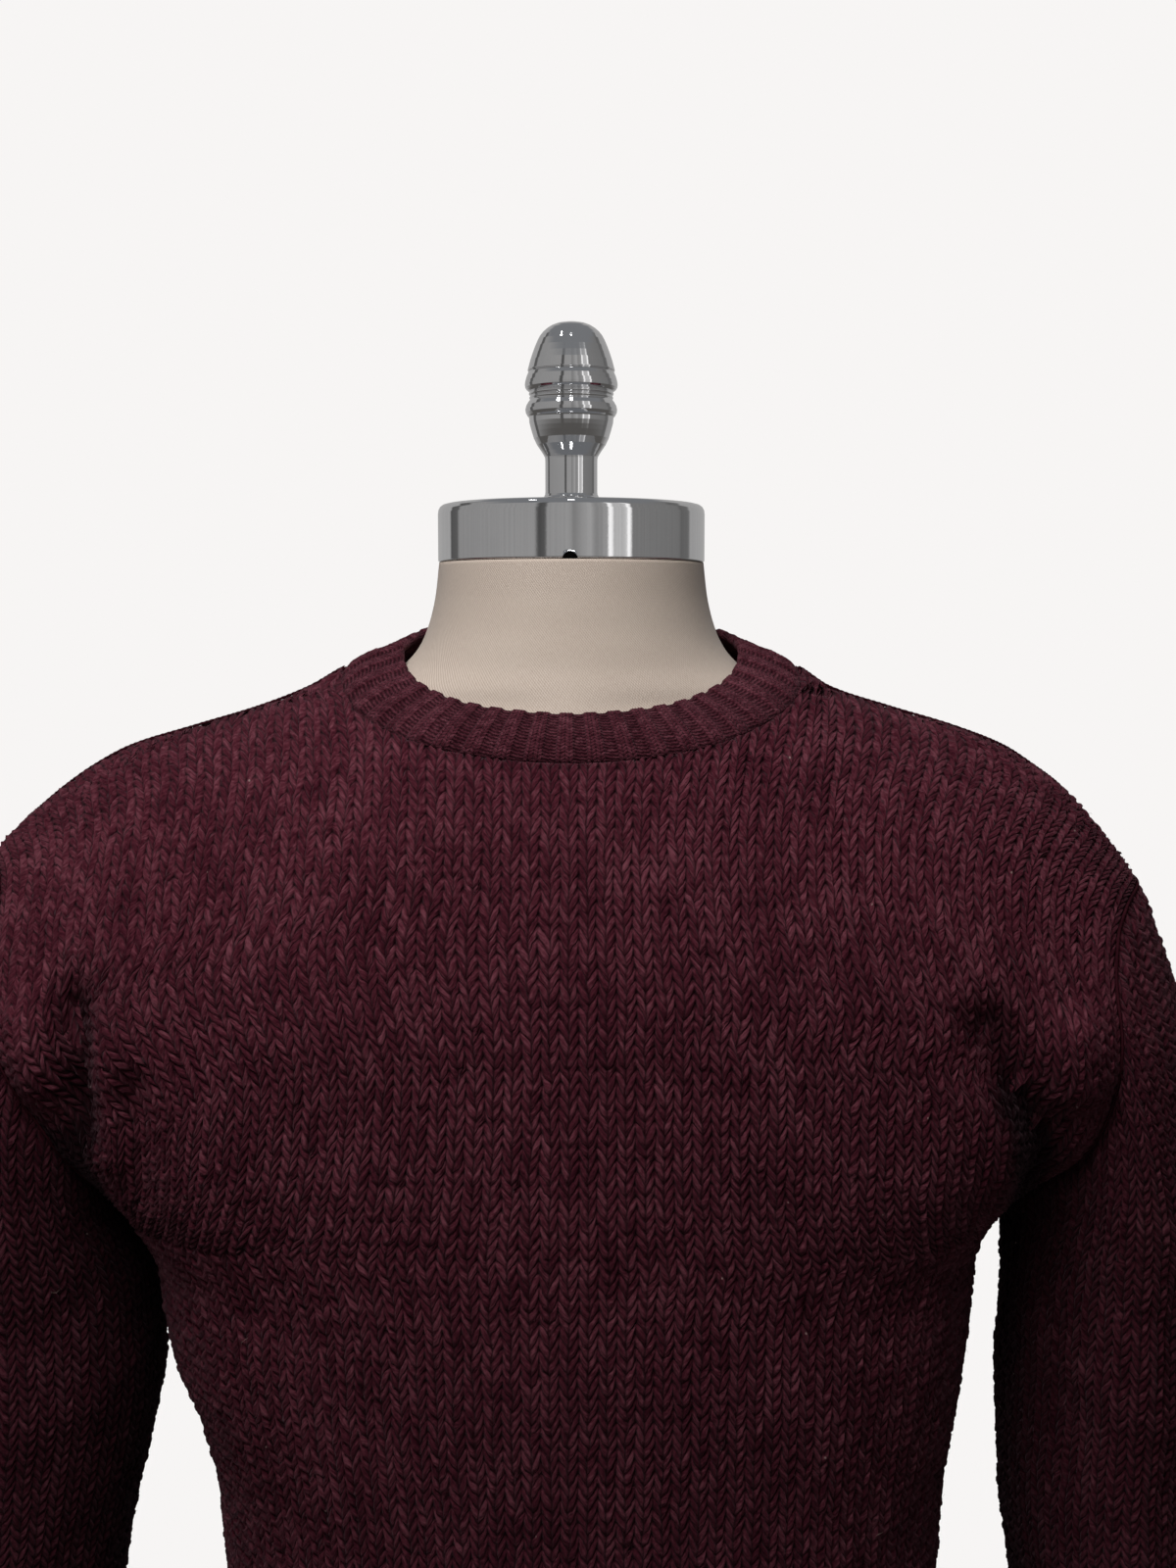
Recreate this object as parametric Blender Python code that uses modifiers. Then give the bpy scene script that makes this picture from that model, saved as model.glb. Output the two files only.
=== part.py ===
"""A chunky knitted pullover with dropped shoulders, resting on a limbless dress form with its stand.

Each cloth panel is a wall worked out from the garment's measured sections. Its rows start at the hem
and follow the cloth, so that the same sizes give the seams, the neckline and the shoulder slope.
The metal fittings are turned profiles. Tables are in millimetres, with heights above the floor.
"""

import math

import bmesh
import bpy
import numpy as np

MM = 0.001
WALL = 4.0  # thickness of the knitted cloth
RIB_WALL = 5.0  # thickness of the folded neckband
RIB_RELIEF = 1.2  # how far a raised rib stands out of its groove
SEAM_GAP = 0.3
NECK_TOP = 1475.0  # where the dress form's cap begins
CHEST = 1275.0  # below this height the shoulders no longer draw the cloth in
UNDERARM = 1185.0
BODY_FOOT = 815.0  # lower edge of front and back, where the hem band begins
HEM_FOOT = 763.0
SLEEVE_FOOT = 868.0
CUFF_FOOT = 812.0
NECK_HALF = 103.0  # half the width of the neckline, at the shoulder seam
NECKLINE_SIDE = 1428.0
FRONT_NECK_DROP = 36.5
BACK_NECK_DROP = 5.0
BAND_HALF = 78.0  # half-width of the neckband's top
BAND_FRONT = 80.0
BAND_BACK = 71.0
BAND_SIDE = 1439.0
BAND_FRONT_DIP = 29.0
BAND_BACK_RISE = 11.0
BAND_SQUARE = 0.8  # under 1 the band's top is squarer than an ellipse
BAND_BEND = 0.6  # under 1 the band's top drops soon in front of the shoulder seam
SIDE_ROWS = 10
NECK_COLUMNS = 6
ARM_ROWS = 11
HALF_COLUMNS = 13
NECK_RIBS = 46
HEM_RIBS = 52
CUFF_RIBS = 20

# Outline of the shoulders and the sleeve heads: height, half-width right, half-width left.
RIDGE = [
    (1175, 297, 301),
    (1225, 292, 298),
    (1260, 285, 292),
    (1283, 277, 286),
    (1302, 268, 280),
    (1320, 262, 275),
    (1333.5, 255.5, 269),
    (1345, 247.5, 261),
    (1356, 239, 252),
    (1365, 231, 242),
    (1374, 223, 231),
    (1383, 211, 218),
    (1392, 197, 201),
    (1401, 174, 172),
    (1410, 144, 142),
    (1419, 117, 119),
    (1428, 103, 103),
    (1438, 78, 78),
    (1450, 58, 58),
    (1460, 0, 0),
]
# Cloth sections: height, half-width right, half-width left, depth in front, depth behind.
SECTIONS = [
    (763, 170, 167, 130, 134),
    (815, 174, 168, 136, 140),
    (875, 171, 164, 138, 142),
    (955, 167, 159, 136, 138),
    (1008, 168.5, 159.5, 134, 135),
    (1028, 170.5, 161.5, 133.5, 134),
    (1066, 174.5, 165.5, 132.5, 131),
    (1095, 179, 173, 131.5, 129),
    (1119, 182, 183, 130.5, 127),
    (1143, 184, 188, 129.5, 125),
    (1162, 186, 191, 128.5, 123.5),
    (1173, 190, 197, 128.2, 122.5),
    (1185, 199, 207, 128, 122),
    (1205, 224, 230, 127.5, 120),
    (1225, 250, 252, 127, 118),
    (1250, 275, 276, 126, 115),
    (1275, 290, 296, 125, 112),
    (1475, 290, 296, 125, 112),
]
# Armhole seams from the underarm to the top of the shoulder: height, distance from the middle.
ARMHOLE_RIGHT = [
    (1185, 199),
    (1195, 206),
    (1212, 218),
    (1230, 225.5),
    (1248, 228.5),
    (1272, 229),
    (1298, 227),
    (1316, 230),
    (1326, 236.5),
    (1331, 244),
    (1333.5, 255.5),
]
ARMHOLE_LEFT = [
    (1185, 207),
    (1195, 210),
    (1212, 214.5),
    (1230, 221),
    (1248, 231),
    (1272, 240),
    (1298, 243),
    (1322, 243.5),
    (1336, 246),
    (1342, 251),
    (1345, 261),
]
# Sleeve below the underarm: height, inner and outer edge right, inner and outer edge left, depth
# in front, depth behind.
SLEEVE = [
    (1143, 202.5, 296, 193, 301, 68, 64),
    (1105, 201.5, 297, 192, 303, 66, 62),
    (1066, 202, 296, 199, 304, 63, 60),
    (1028, 204.5, 295, 209, 303, 60, 57),
    (1000, 209, 294, 214, 302, 58, 56),
    (955, 214, 292, 219, 300, 54, 53),
    (910, 219, 290, 223, 298, 50, 50),
    (868, 224, 288, 227, 296, 46, 47),
]
# Large folds pressed into front or back: panel, start across, start height, end across, end
# height, half-width, rise out of the cloth (a valley is negative).
FOLDS = [
    ("front", 162, 1296, 196, 1236, 12, -13),
    ("front", 198, 1252, 199, 1196, 11, -16),
    ("front", 203, 1292, 216, 1246, 13, 8),
    ("front", 178, 1268, 182, 1200, 11, 4),
    ("front", 196, 1214, 192, 1150, 12, -9),
    ("front", 148, 1258, 154, 1090, 16, 3),
    ("front", -182, 1272, -180, 1196, 11, -7),
    ("front", -217, 1304, -211, 1226, 9, -14),
    ("front", -237, 1296, -232, 1246, 10, 6),
    ("front", -196, 1266, -194, 1206, 10, 4),
    ("front", -212, 1224, -200, 1150, 12, -9),
    ("front", -148, 1250, -138, 1050, 18, 3),
    ("front", 96, 1120, 110, 880, 30, 4),
    ("front", -70, 1060, -84, 860, 28, 4),
    ("front", 14, 1010, 20, 830, 24, -3),
    ("back", 172, 1290, 200, 1210, 14, -8),
    ("back", -176, 1290, -206, 1210, 14, -8),
    ("back", 120, 1180, 112, 900, 26, 4),
    ("back", -110, 1150, -120, 880, 28, 4),
    ("back", 10, 1120, 4, 860, 30, -4),
]
# Dress form: height, half-width, depth in front, depth behind, squareness of the section.
FORM = [
    (695.0, 134, 95, 99, 2.2),
    (699.0, 143, 101, 105, 2.2),
    (710.0, 148, 105, 109, 2.2),
    (800.0, 150, 108, 112, 2.2),
    (880.0, 148, 105, 108, 2.2),
    (960.0, 140, 99, 97, 2.2),
    (1050.0, 134, 97, 89, 2.2),
    (1120.0, 148, 106, 96, 2.2),
    (1185.0, 160, 114, 103, 2.2),
    (1240.0, 170, 116, 104, 2.15),
    (1275.0, 180, 114, 102, 2.1),
    (1310.0, 194, 109, 98, 2.0),
    (1340.0, 204, 101, 92, 1.95),
    (1365.0, 206, 92, 86, 1.8),
    (1377.5, 201, 87, 82, 1.65),
    (1386.4, 191, 83, 78, 1.55),
    (1395.6, 171, 79, 75, 1.5),
    (1404.6, 141, 75.5, 72, 1.55),
    (1413.0, 113, 72, 69, 1.6),
    (1421.0, 82, 69, 66, 1.85),
    (1430.0, 69.5, 65.5, 63.5, 1.95),
    (1438.0, 65.5, 64, 62.5, 2.0),
    (1446.0, 64, 62, 61, 2.0),
    (1458.0, 60.5, 60.3, 60.3, 2.0),
    (1474.7, 59.6, 59.6, 59.6, 2.0),
]
# Finial above the cap: radius, height over the neck's top.
FINIAL = [
    (0.0, 107.0),
    (5.0, 106.5),
    (8.8, 105.0),
    (12.9, 101.2),
    (15.1, 97.6),
    (17.5, 90.6),
    (19.3, 83.6),
    (20.6, 80.2),
    (20.3, 77.0),
    (18.4, 73.6),
    (20.4, 70.4),
    (20.3, 67.0),
    (18.9, 63.0),
    (16.9, 56.4),
    (15.0, 52.6),
    (12.4, 49.4),
    (11.8, 46.0),
    (11.8, 32.4),
    (13.4, 30.4),
    (16.8, 29.0),
    (17.0, 26.3),
    (0.0, 26.3),
]
SHOULDER_FOOT = 1370.0  # between these heights the form follows the cloth that it carries
SHOULDER_HEAD = 1425.0
FORM_DROP = 6.3
NECK_DROP = 6.6
FORM_INSET = 7.0
CLOTH_START = 4.0  # inside the neckline the form is free from this far under its edge
THROAT_MIDDLE = 30.0  # free up to this distance from the middle, and tucked in beyond the next
THROAT_SIDE = 62.0
CAP_RADIUS = 60.0
CAP_HEIGHT = 25.5
NOTCH_RADIUS = 3.4
POLE_RADIUS = 12.5
BASE_RADIUS = 190.0
BASE_TOP = 17.0


def column(table, number):
    """One column of a table as an array."""
    return np.array([row[number] for row in table], float)


def smooth(known, values, at):
    """A curve through (known, values) that never overshoots a value, read at the places given."""
    order = np.argsort(known)
    x, y = np.asarray(known, float)[order], np.asarray(values, float)[order]
    step = np.diff(x)
    slope = np.diff(y) / step
    tangent = np.zeros_like(y)
    same = slope[1:] * slope[:-1] > 0
    weight_one, weight_two = 2 * step[1:] + step[:-1], step[1:] + 2 * step[:-1]
    with np.errstate(divide="ignore", invalid="ignore"):
        mean = (weight_one + weight_two) / (weight_one / slope[:-1] + weight_two / slope[1:])
    tangent[1:-1] = np.where(same, mean, 0.0)
    tangent[0], tangent[-1] = slope[0], slope[-1]
    at = np.clip(np.asarray(at, float), x[0], x[-1])
    i = np.clip(np.searchsorted(x, at) - 1, 0, len(step) - 1)
    t = (at - x[i]) / step[i]
    return (
        (1 + 2 * t) * (1 - t) ** 2 * y[i]
        + t * (1 - t) ** 2 * step[i] * tangent[i]
        + t * t * (3 - 2 * t) * y[i + 1]
        + t * t * (t - 1) * step[i] * tangent[i + 1]
    )


def section(height, number):
    """A column of SECTIONS at these heights."""
    return smooth(column(SECTIONS, 0), column(SECTIONS, number), height)


def ridge_height(across):
    """Height of the shoulder ridge at a distance across, right of the middle being positive."""
    right = smooth(column(RIDGE, 1), column(RIDGE, 0), np.abs(across))
    left = smooth(column(RIDGE, 2), column(RIDGE, 0), np.abs(across))
    return np.where(np.asarray(across) >= 0, right, left)


def fold_rise(panel, across, height):
    """Sum of the panel's large folds, each a soft ridge or valley along a straight line."""
    total = np.zeros(np.broadcast(across, height).shape)
    for name, x0, z0, x1, z1, half, rise in FOLDS:
        if name != panel:
            continue
        run = np.array([x1 - x0, z1 - z0], float)
        length = np.hypot(*run)
        along = ((across - x0) * run[0] + (height - z0) * run[1]) / length**2
        aside = ((across - x0) * run[1] - (height - z0) * run[0]) / length
        ends = np.clip(1.25 * (1 - np.abs(2 * along - 1)) + 0.25, 0, 1)
        total += rise * np.exp(-((aside / half) ** 2)) * ends * ends * (3 - 2 * ends)
    return total


def depth(panel, across, height):
    """Distance of the cloth from the plane of the shoulder seams.

    The section is an ellipse of the table's half-width and depth. Above the chest it shrinks
    towards the ridge: depth * (1 - t ** m) ** (1 / m), t being the share of the way up.
    """
    front = panel == "front"
    half = np.where(np.asarray(across) >= 0, section(height, 1), section(height, 2))
    square = 2.25 if front else 2.35
    share = np.clip(np.abs(across) / half, 0, 1)
    out = section(height, 3 if front else 4) * (1 - share**square) ** (1 / square)
    bend = 1.8 if front else 2.2
    top = np.maximum(ridge_height(across) - CHEST, 1.0)
    climb = np.clip((height - CHEST) / top, 0, 1)
    out = out * (1 - climb**bend) ** (1 / bend)
    near_edge = np.clip(out / 30, 0, 1)
    return np.maximum(out + fold_rise(panel, across, height) * near_edge, 0)


def lengths(points):
    """Distance run along a line of points, starting with nought."""
    return np.concatenate([[0], np.cumsum(np.linalg.norm(np.diff(points, axis=0), axis=1))])


def edge_line(panel, side):
    """Side seam and armhole seam from the body's foot to the shoulder, as dense points."""
    table = ARMHOLE_RIGHT if side > 0 else ARMHOLE_LEFT
    low = np.linspace(BODY_FOOT, UNDERARM, 80)[:-1]
    share = np.sin(np.linspace(0, math.pi / 2, 240))
    high = UNDERARM + (table[-1][0] - UNDERARM) * share
    across = np.concatenate(
        [section(low, 1 if side > 0 else 2), smooth(column(table, 0), column(table, 1), high)]
    )
    height = np.concatenate([low, high])
    away = np.concatenate([np.zeros(len(low)), depth(panel, side * across[len(low):], high)])
    away[-1] = 0
    return np.stack([across, away, height], 1), len(low)


def neckline(panel, across):
    """Height of the neckline at a distance across, a half ellipse hung from the shoulder seams."""
    drop = FRONT_NECK_DROP if panel == "front" else BACK_NECK_DROP
    share = np.clip(np.abs(across) / NECK_HALF, 0, 1)
    return NECKLINE_SIDE - drop * np.sqrt(1 - share**2)


def half_panel(panel, side, columns, rows):
    """Outer points of half a panel, from the middle to the edge, and the row of the underarm.

    A row lies where the cloth has run the same length up from the hem, both in the middle and
    along the edge. Between them it sags with the cube of the distance across. Each column keeps
    its share of the row's length and ends at the neckline or the shoulder seam.
    """
    edge, foot_count = edge_line(panel, side)
    edge_run = lengths(edge)
    under_run = edge_run[foot_count]
    middle_height = np.linspace(BODY_FOOT, 1459, 500)
    middle = np.stack(
        [0 * middle_height, depth(panel, 0 * middle_height, middle_height), middle_height], 1
    )
    middle_run = lengths(middle)
    runs = np.linspace(0, middle_run[-1], 420)
    beyond = np.maximum(runs - edge_run[-1], 0)
    edge_height = np.interp(runs, edge_run, edge[:, 2]) + 0.35 * beyond
    edge_across = np.interp(runs, edge_run, edge[:, 0])
    edge_away = np.interp(runs, edge_run, edge[:, 1])
    centre_height = np.interp(runs, middle_run, middle_height)
    spread = np.sin(np.linspace(0, math.pi / 2, 160))
    columns = np.asarray(columns, float)
    grid = np.zeros((len(runs), len(columns), 3))
    for i, run in enumerate(runs):
        across = edge_across[i] * spread
        height = centre_height[i] + (edge_height[i] - centre_height[i]) * spread**3
        line = np.stack([across, depth(panel, side * across, height), height], 1)
        if beyond[i] == 0:
            line[-1, 1] = edge_away[i]
        run_across = lengths(line)
        for k in range(3):
            grid[i, :, k] = np.interp(columns * run_across[-1], run_across, line[:, k])
    made = np.zeros((len(rows), len(columns), 3))
    tops = np.zeros(len(columns))
    for j in range(len(columns)):
        x, z = grid[:, j, 0], grid[:, j, 2]
        limit = np.where(x < NECK_HALF, neckline(panel, x), ridge_height(side * x))
        over = z - limit
        if columns[j] >= 1:
            tops[j] = edge_run[-1]
        else:
            last = int(np.argmax((over >= 0) & (z > CHEST)))
            tops[j] = np.interp(0, [over[last - 1], over[last]], [runs[last - 1], runs[last]])
        share = np.asarray(rows, float)
        place = np.where(
            share <= 1, under_run * share, under_run + (tops[j] - under_run) * (share - 1)
        )
        for k in range(3):
            made[:, j, k] = np.interp(place, runs, grid[:, j, k])
        if columns[j] >= 1:
            for k in range(3):
                made[:, j, k] = np.interp(place, edge_run, edge[:, k])
        if abs(made[-1, j, 0] - NECK_HALF) < 3:
            made[-1, j] = (NECK_HALF, 0, NECKLINE_SIDE)
        elif made[-1, j, 0] > NECK_HALF:
            made[-1, j, 1] = 0
    return made, tops


def panel_points(panel, columns=None, rows=None):
    """Outer points of a whole panel, left edge to right edge, with its true sign of depth."""
    if columns is None:
        trial = np.linspace(0.3, 0.5, 41)
        reach = half_panel(panel, 1, trial, [2.0])[0][0, :, 0]
        neck = np.interp(NECK_HALF, reach, trial)
        middle = neck * np.linspace(0, 1, NECK_COLUMNS + 1) ** 0.9
        outside = np.linspace(0, 1, HALF_COLUMNS - NECK_COLUMNS + 1)[1:]
        columns = np.concatenate([middle, neck + (1 - neck) * outside**0.92])
    if rows is None:
        rows = np.concatenate(
            [np.linspace(0, 1, SIDE_ROWS + 1), 1 + np.linspace(0, 1, ARM_ROWS + 1)[1:] ** 0.8]
        )
    right, _ = half_panel(panel, 1, columns, rows)
    left, _ = half_panel(panel, -1, columns, rows)
    left[..., 0] *= -1
    whole = np.concatenate([left[:, :0:-1], right], 1)
    whole[..., 1] = np.maximum(whole[..., 1], SEAM_GAP / 2)
    whole[..., 1] *= -1 if panel == "front" else 1
    return whole


def normals(points, closed=False):
    """Unit normals of a grid of points, from the differences of its neighbours."""
    up = np.gradient(points, axis=0)
    if closed:
        along = np.roll(points, -1, 1) - np.roll(points, 1, 1)
    else:
        along = np.gradient(points, axis=1)
    found = np.cross(along, up)
    return found / np.maximum(np.linalg.norm(found, axis=2, keepdims=True), 1e-9)


def loop_inward(loop):
    """Directions in the plane of a closed loop that point to its inside."""
    along = np.roll(loop, -1, 0) - np.roll(loop, 1, 0)
    centre = loop.mean(0)
    plane = np.cross(loop - centre, along).sum(0)
    inward = np.cross(plane, along)
    inward /= np.linalg.norm(inward, axis=1, keepdims=True)
    return inward, plane / np.linalg.norm(plane)


def make_object(name, points, faces, material, smooth_angle=50):
    """A mesh object from points in millimetres, with outward faces and smooth shading."""
    mesh = bpy.data.meshes.new(name)
    flat = np.asarray(points, float).reshape(-1, 3) * MM
    mesh.from_pydata(flat.tolist(), [], faces)
    tidy = bmesh.new()
    tidy.from_mesh(mesh)
    bmesh.ops.recalc_face_normals(tidy, faces=tidy.faces)
    tidy.to_mesh(mesh)
    tidy.free()
    mesh.shade_smooth()
    mesh.set_sharp_from_angle(angle=math.radians(smooth_angle))
    mesh.materials.append(material)
    made = bpy.data.objects.new(name, mesh)
    collection.objects.link(made)
    return made


def sheet_faces(count_up, count_along, closed):
    """Quads of an outer and an inner grid of points, joined along every open edge."""
    size = count_up * count_along

    def at(layer, i, j):
        return layer * size + i * count_along + j % count_along

    faces = []
    last = count_along if closed else count_along - 1
    for i in range(count_up - 1):
        for j in range(last):
            faces.append([at(0, i, j), at(0, i, j + 1), at(0, i + 1, j + 1), at(0, i + 1, j)])
            faces.append([at(1, i, j), at(1, i + 1, j), at(1, i + 1, j + 1), at(1, i, j + 1)])
    for j in range(last):
        faces.append([at(0, 0, j), at(1, 0, j), at(1, 0, j + 1), at(0, 0, j + 1)])
        top = count_up - 1
        faces.append([at(0, top, j), at(0, top, j + 1), at(1, top, j + 1), at(1, top, j)])
    if not closed:
        for i in range(count_up - 1):
            end = count_along - 1
            faces.append([at(0, i, 0), at(0, i + 1, 0), at(1, i + 1, 0), at(1, i, 0)])
            faces.append([at(0, i, end), at(1, i, end), at(1, i + 1, end), at(0, i + 1, end)])
    return faces


def armhole_loop(outer, side):
    """The armhole's seam from the shoulder down the front to the underarm and up the back."""
    column_number = -1 if side > 0 else 0
    down = outer["front"][SIDE_ROWS:, column_number][::-1]
    up = outer["back"][SIDE_ROWS:, column_number]
    return np.concatenate([down, up[1:-1]])


def neck_columns(points):
    """The columns of a panel that end at the neckline."""
    return np.flatnonzero(np.abs(points[-1, :, 0]) <= NECK_HALF + 0.5)


def neck_lines(outer):
    """Corners of the neckline, of the neckband's top above them, and the band's outward ways.

    They run from the left shoulder seam across the front to the right one, and back behind.
    """
    front, back = outer["front"], outer["back"]
    ahead = front[-1, neck_columns(front)]
    behind = back[-1, neck_columns(back)][::-1]
    foot = np.concatenate([ahead, behind[1:-1]])
    share = np.arcsin(np.clip(foot[:, 0] / NECK_HALF, -1, 1))
    is_front = np.arange(len(foot)) < len(ahead)
    level = np.where(is_front, np.cos(share), -np.cos(share))
    low = np.where(level >= 0, BAND_FRONT_DIP, -BAND_BACK_RISE)
    deep = np.where(level >= 0, BAND_FRONT, BAND_BACK)
    reach = np.sign(level) * np.abs(level) ** BAND_SQUARE
    bend = (level**2 + 0.01) ** (BAND_BEND / 2) - 0.01 ** (BAND_BEND / 2)
    bend /= 1.01 ** (BAND_BEND / 2) - 0.01 ** (BAND_BEND / 2)
    top = np.stack([BAND_HALF * np.sin(share), -deep * reach, BAND_SIDE - low * bend], 1)
    along = np.roll(foot, -1, 0) - np.roll(foot, 1, 0)
    outwards = np.cross(top - foot, along)
    outwards /= np.linalg.norm(outwards, axis=1, keepdims=True)
    if (outwards * (foot - foot.mean(0))).sum() < 0:
        outwards = -outwards
    return foot, top, outwards


def panel_inside(panel, points, inward, neck_out):
    """Inner points of a panel: its outer ones moved in by the wall, bent to the seam at the edges."""
    direction = normals(points)
    outwards = -1 if panel == "front" else 1
    flip = np.sign((direction[..., 1] * outwards).mean())
    direction = -direction * flip
    direction[0, :, 2] = 0
    direction[-1, :, 1] = 0
    neck = neck_columns(points)
    around = np.arange(len(neck)) if panel == "front" else -np.arange(len(neck))
    direction[-1, neck] = -neck_out[around]
    for end, side in ((-1, 1), (0, -1)):
        direction[:SIDE_ROWS, end, 1] = 0
        table = inward[side][0]
        if panel == "front":
            line = table[: ARM_ROWS + 1][::-1]
        else:
            line = np.concatenate([table[ARM_ROWS:], table[:1]])
        direction[SIDE_ROWS:, end] = line
        near = end - 1 if end else 1
        direction[SIDE_ROWS:, near] = 0.65 * direction[SIDE_ROWS:, near] + 0.35 * line
    direction /= np.linalg.norm(direction, axis=2, keepdims=True)
    inner = points + WALL * direction
    inner[..., 1] = outwards * np.maximum(inner[..., 1] * outwards, SEAM_GAP / 2)
    return inner


def sleeve_ring(height, side, count):
    """A level ring of the sleeve, from its outer edge round by the front."""
    first = 1 if side > 0 else 3
    inner_edge = smooth(column(SLEEVE, 0), column(SLEEVE, first), height)
    outer_edge = smooth(column(SLEEVE, 0), column(SLEEVE, first + 1), height)
    front = smooth(column(SLEEVE, 0), column(SLEEVE, 5), height)
    back = smooth(column(SLEEVE, 0), column(SLEEVE, 6), height)
    turn = np.linspace(0, 2 * math.pi, 721)[:-1]
    half = (outer_edge - inner_edge) / 2
    middle = (outer_edge + inner_edge) / 2
    x = middle + half * np.cos(turn)
    y = np.where(np.sin(turn) >= 0, -front, -back) * np.sin(turn)
    y = y * (1 + 0.05 * np.cos(4 * turn))
    dense = np.stack([side * x, y, np.full_like(x, float(height))], 1)
    made = []
    for start in (0, 360):
        part = dense[np.arange(start, start + 361) % 720]
        run = lengths(part)
        even = np.linspace(0, run[-1], count // 2 + 1)[:-1]
        made.append(np.stack([np.interp(even, run, part[:, k]) for k in range(3)], 1))
    return np.concatenate(made)


def sleeve_rows(loop, side, plane, shares, heights):
    """Outer rings of a sleeve, from the armhole's seam down to the cuff."""
    count = len(loop)
    first = sleeve_ring(SLEEVE[0][0], side, count)
    chord = first - loop
    far = np.linalg.norm(chord, axis=1, keepdims=True)
    turn = np.linspace(0, 2 * math.pi, count, endpoint=False)
    bulge = np.stack([0 * turn, -np.sin(turn), 0 * turn], 1)
    leave = chord + 0.25 * far * plane + 0.12 * far * bulge
    arrive = far * np.array([0, 0, -1.0])
    rings = []
    for t in shares:
        rings.append(
            (1 + 2 * t) * (1 - t) ** 2 * loop
            + t * (1 - t) ** 2 * leave
            + t * t * (3 - 2 * t) * first
            + t * t * (t - 1) * arrive
        )
    for height in heights:
        rings.append(sleeve_ring(height, side, count))
    return np.array(rings)


def wave(count, per_rib, relief):
    """Height of a ribbed band's outer points over its grooves: each rib has one low point."""
    place = np.arange(count) % per_rib
    return np.where(place == per_rib - 1, 0.0, relief)


def band_object(name, outer, inner, material):
    """A ribbed tube from its outer rings and as many inner rings, from foot to top."""
    points = np.concatenate([outer.reshape(-1, 3), inner.reshape(-1, 3)])
    faces = sheet_faces(outer.shape[0], outer.shape[1], True)
    return make_object(name, points, faces, material, 35)


def body_ring(height, count):
    """A level ring of the body's cloth with points spaced evenly, from the left side seam."""
    turn = np.linspace(0, 2 * math.pi, 1441)[:-1]
    x = -np.cos(turn)
    half = np.where(x >= 0, section(height, 1), section(height, 2))
    y = -np.sin(turn)
    square_x = np.sign(x) * np.abs(x) ** (2 / 2.3)
    square_y = np.sign(y) * np.abs(y) ** (2 / 2.3)
    deep = np.where(y < 0, section(height, 3), section(height, 4))
    ring = np.stack([half * square_x, deep * square_y, np.full_like(x, float(height))], 1)
    closed_ring = np.concatenate([ring, ring[:1]])
    run = lengths(closed_ring)
    even = np.linspace(0, run[-1], count + 1)[:-1]
    return np.stack([np.interp(even, run, closed_ring[:, k]) for k in range(3)], 1)


def level_outward(ring):
    """Level directions that point out of a closed ring."""
    along = np.roll(ring, -1, 0) - np.roll(ring, 1, 0)
    out = np.stack([along[:, 1], -along[:, 0], 0 * along[:, 0]], 1)
    out /= np.linalg.norm(out, axis=1, keepdims=True)
    if (out * (ring - ring.mean(0))).sum() < 0:
        out = -out
    return out


def material_of(name, colour, roughness, metallic):
    """A Principled material with one colour."""
    made = bpy.data.materials.new(name)
    made.use_nodes = True
    shader = made.node_tree.nodes["Principled BSDF"]
    shader.inputs["Base Color"].default_value = (*colour, 1.0)
    shader.inputs["Roughness"].default_value = roughness
    shader.inputs["Metallic"].default_value = metallic
    return made


def turned(name, profile, steps, material):
    """A solid of revolution from a profile that runs from the axis down its outer side."""
    mesh = bpy.data.meshes.new(name)
    points = [(radius * MM, 0, height * MM) for radius, height in profile]
    mesh.from_pydata(points, [(i, i + 1) for i in range(len(points) - 1)], [])
    mesh.materials.append(material)
    made = bpy.data.objects.new(name, mesh)
    collection.objects.link(made)
    screw = made.modifiers.new("Screw", "SCREW")
    screw.steps = steps
    screw.render_steps = steps
    screw.use_merge_vertices = True
    screw.merge_threshold = 0.00005
    screw.use_smooth_shade = True
    return made


for old in list(bpy.data.objects):
    bpy.data.objects.remove(old)
collection = bpy.data.collections.new("sweater_on_dress_form")
bpy.context.scene.collection.children.link(collection)
cutters = bpy.data.collections.new("cutters")
bpy.context.scene.collection.children.link(cutters)
cutters.hide_render = True

knit = material_of("knit", (0.075, 0.008, 0.017), 0.9, 0.0)
rib = material_of("rib", (0.066, 0.007, 0.015), 0.9, 0.0)
canvas = material_of("canvas", (0.62, 0.5, 0.35), 0.85, 0.0)
chrome = material_of("chrome", (0.78, 0.78, 0.78), 0.12, 1.0)

# Front and back share their side, shoulder and armhole seams.
panels = {name: panel_points(name) for name in ("front", "back")}
loops = {side: armhole_loop(panels, side) for side in (1, -1)}
inwards = {side: loop_inward(loops[side]) for side in (1, -1)}
neck_foot, neck_top, neck_out = neck_lines(panels)
for name, points in panels.items():
    inner = panel_inside(name, points, inwards, neck_out)
    rows, across = points.shape[:2]
    both = np.concatenate([points.reshape(-1, 3), inner.reshape(-1, 3)])
    make_object(name, both, sheet_faces(rows, across, False), knit)

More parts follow.
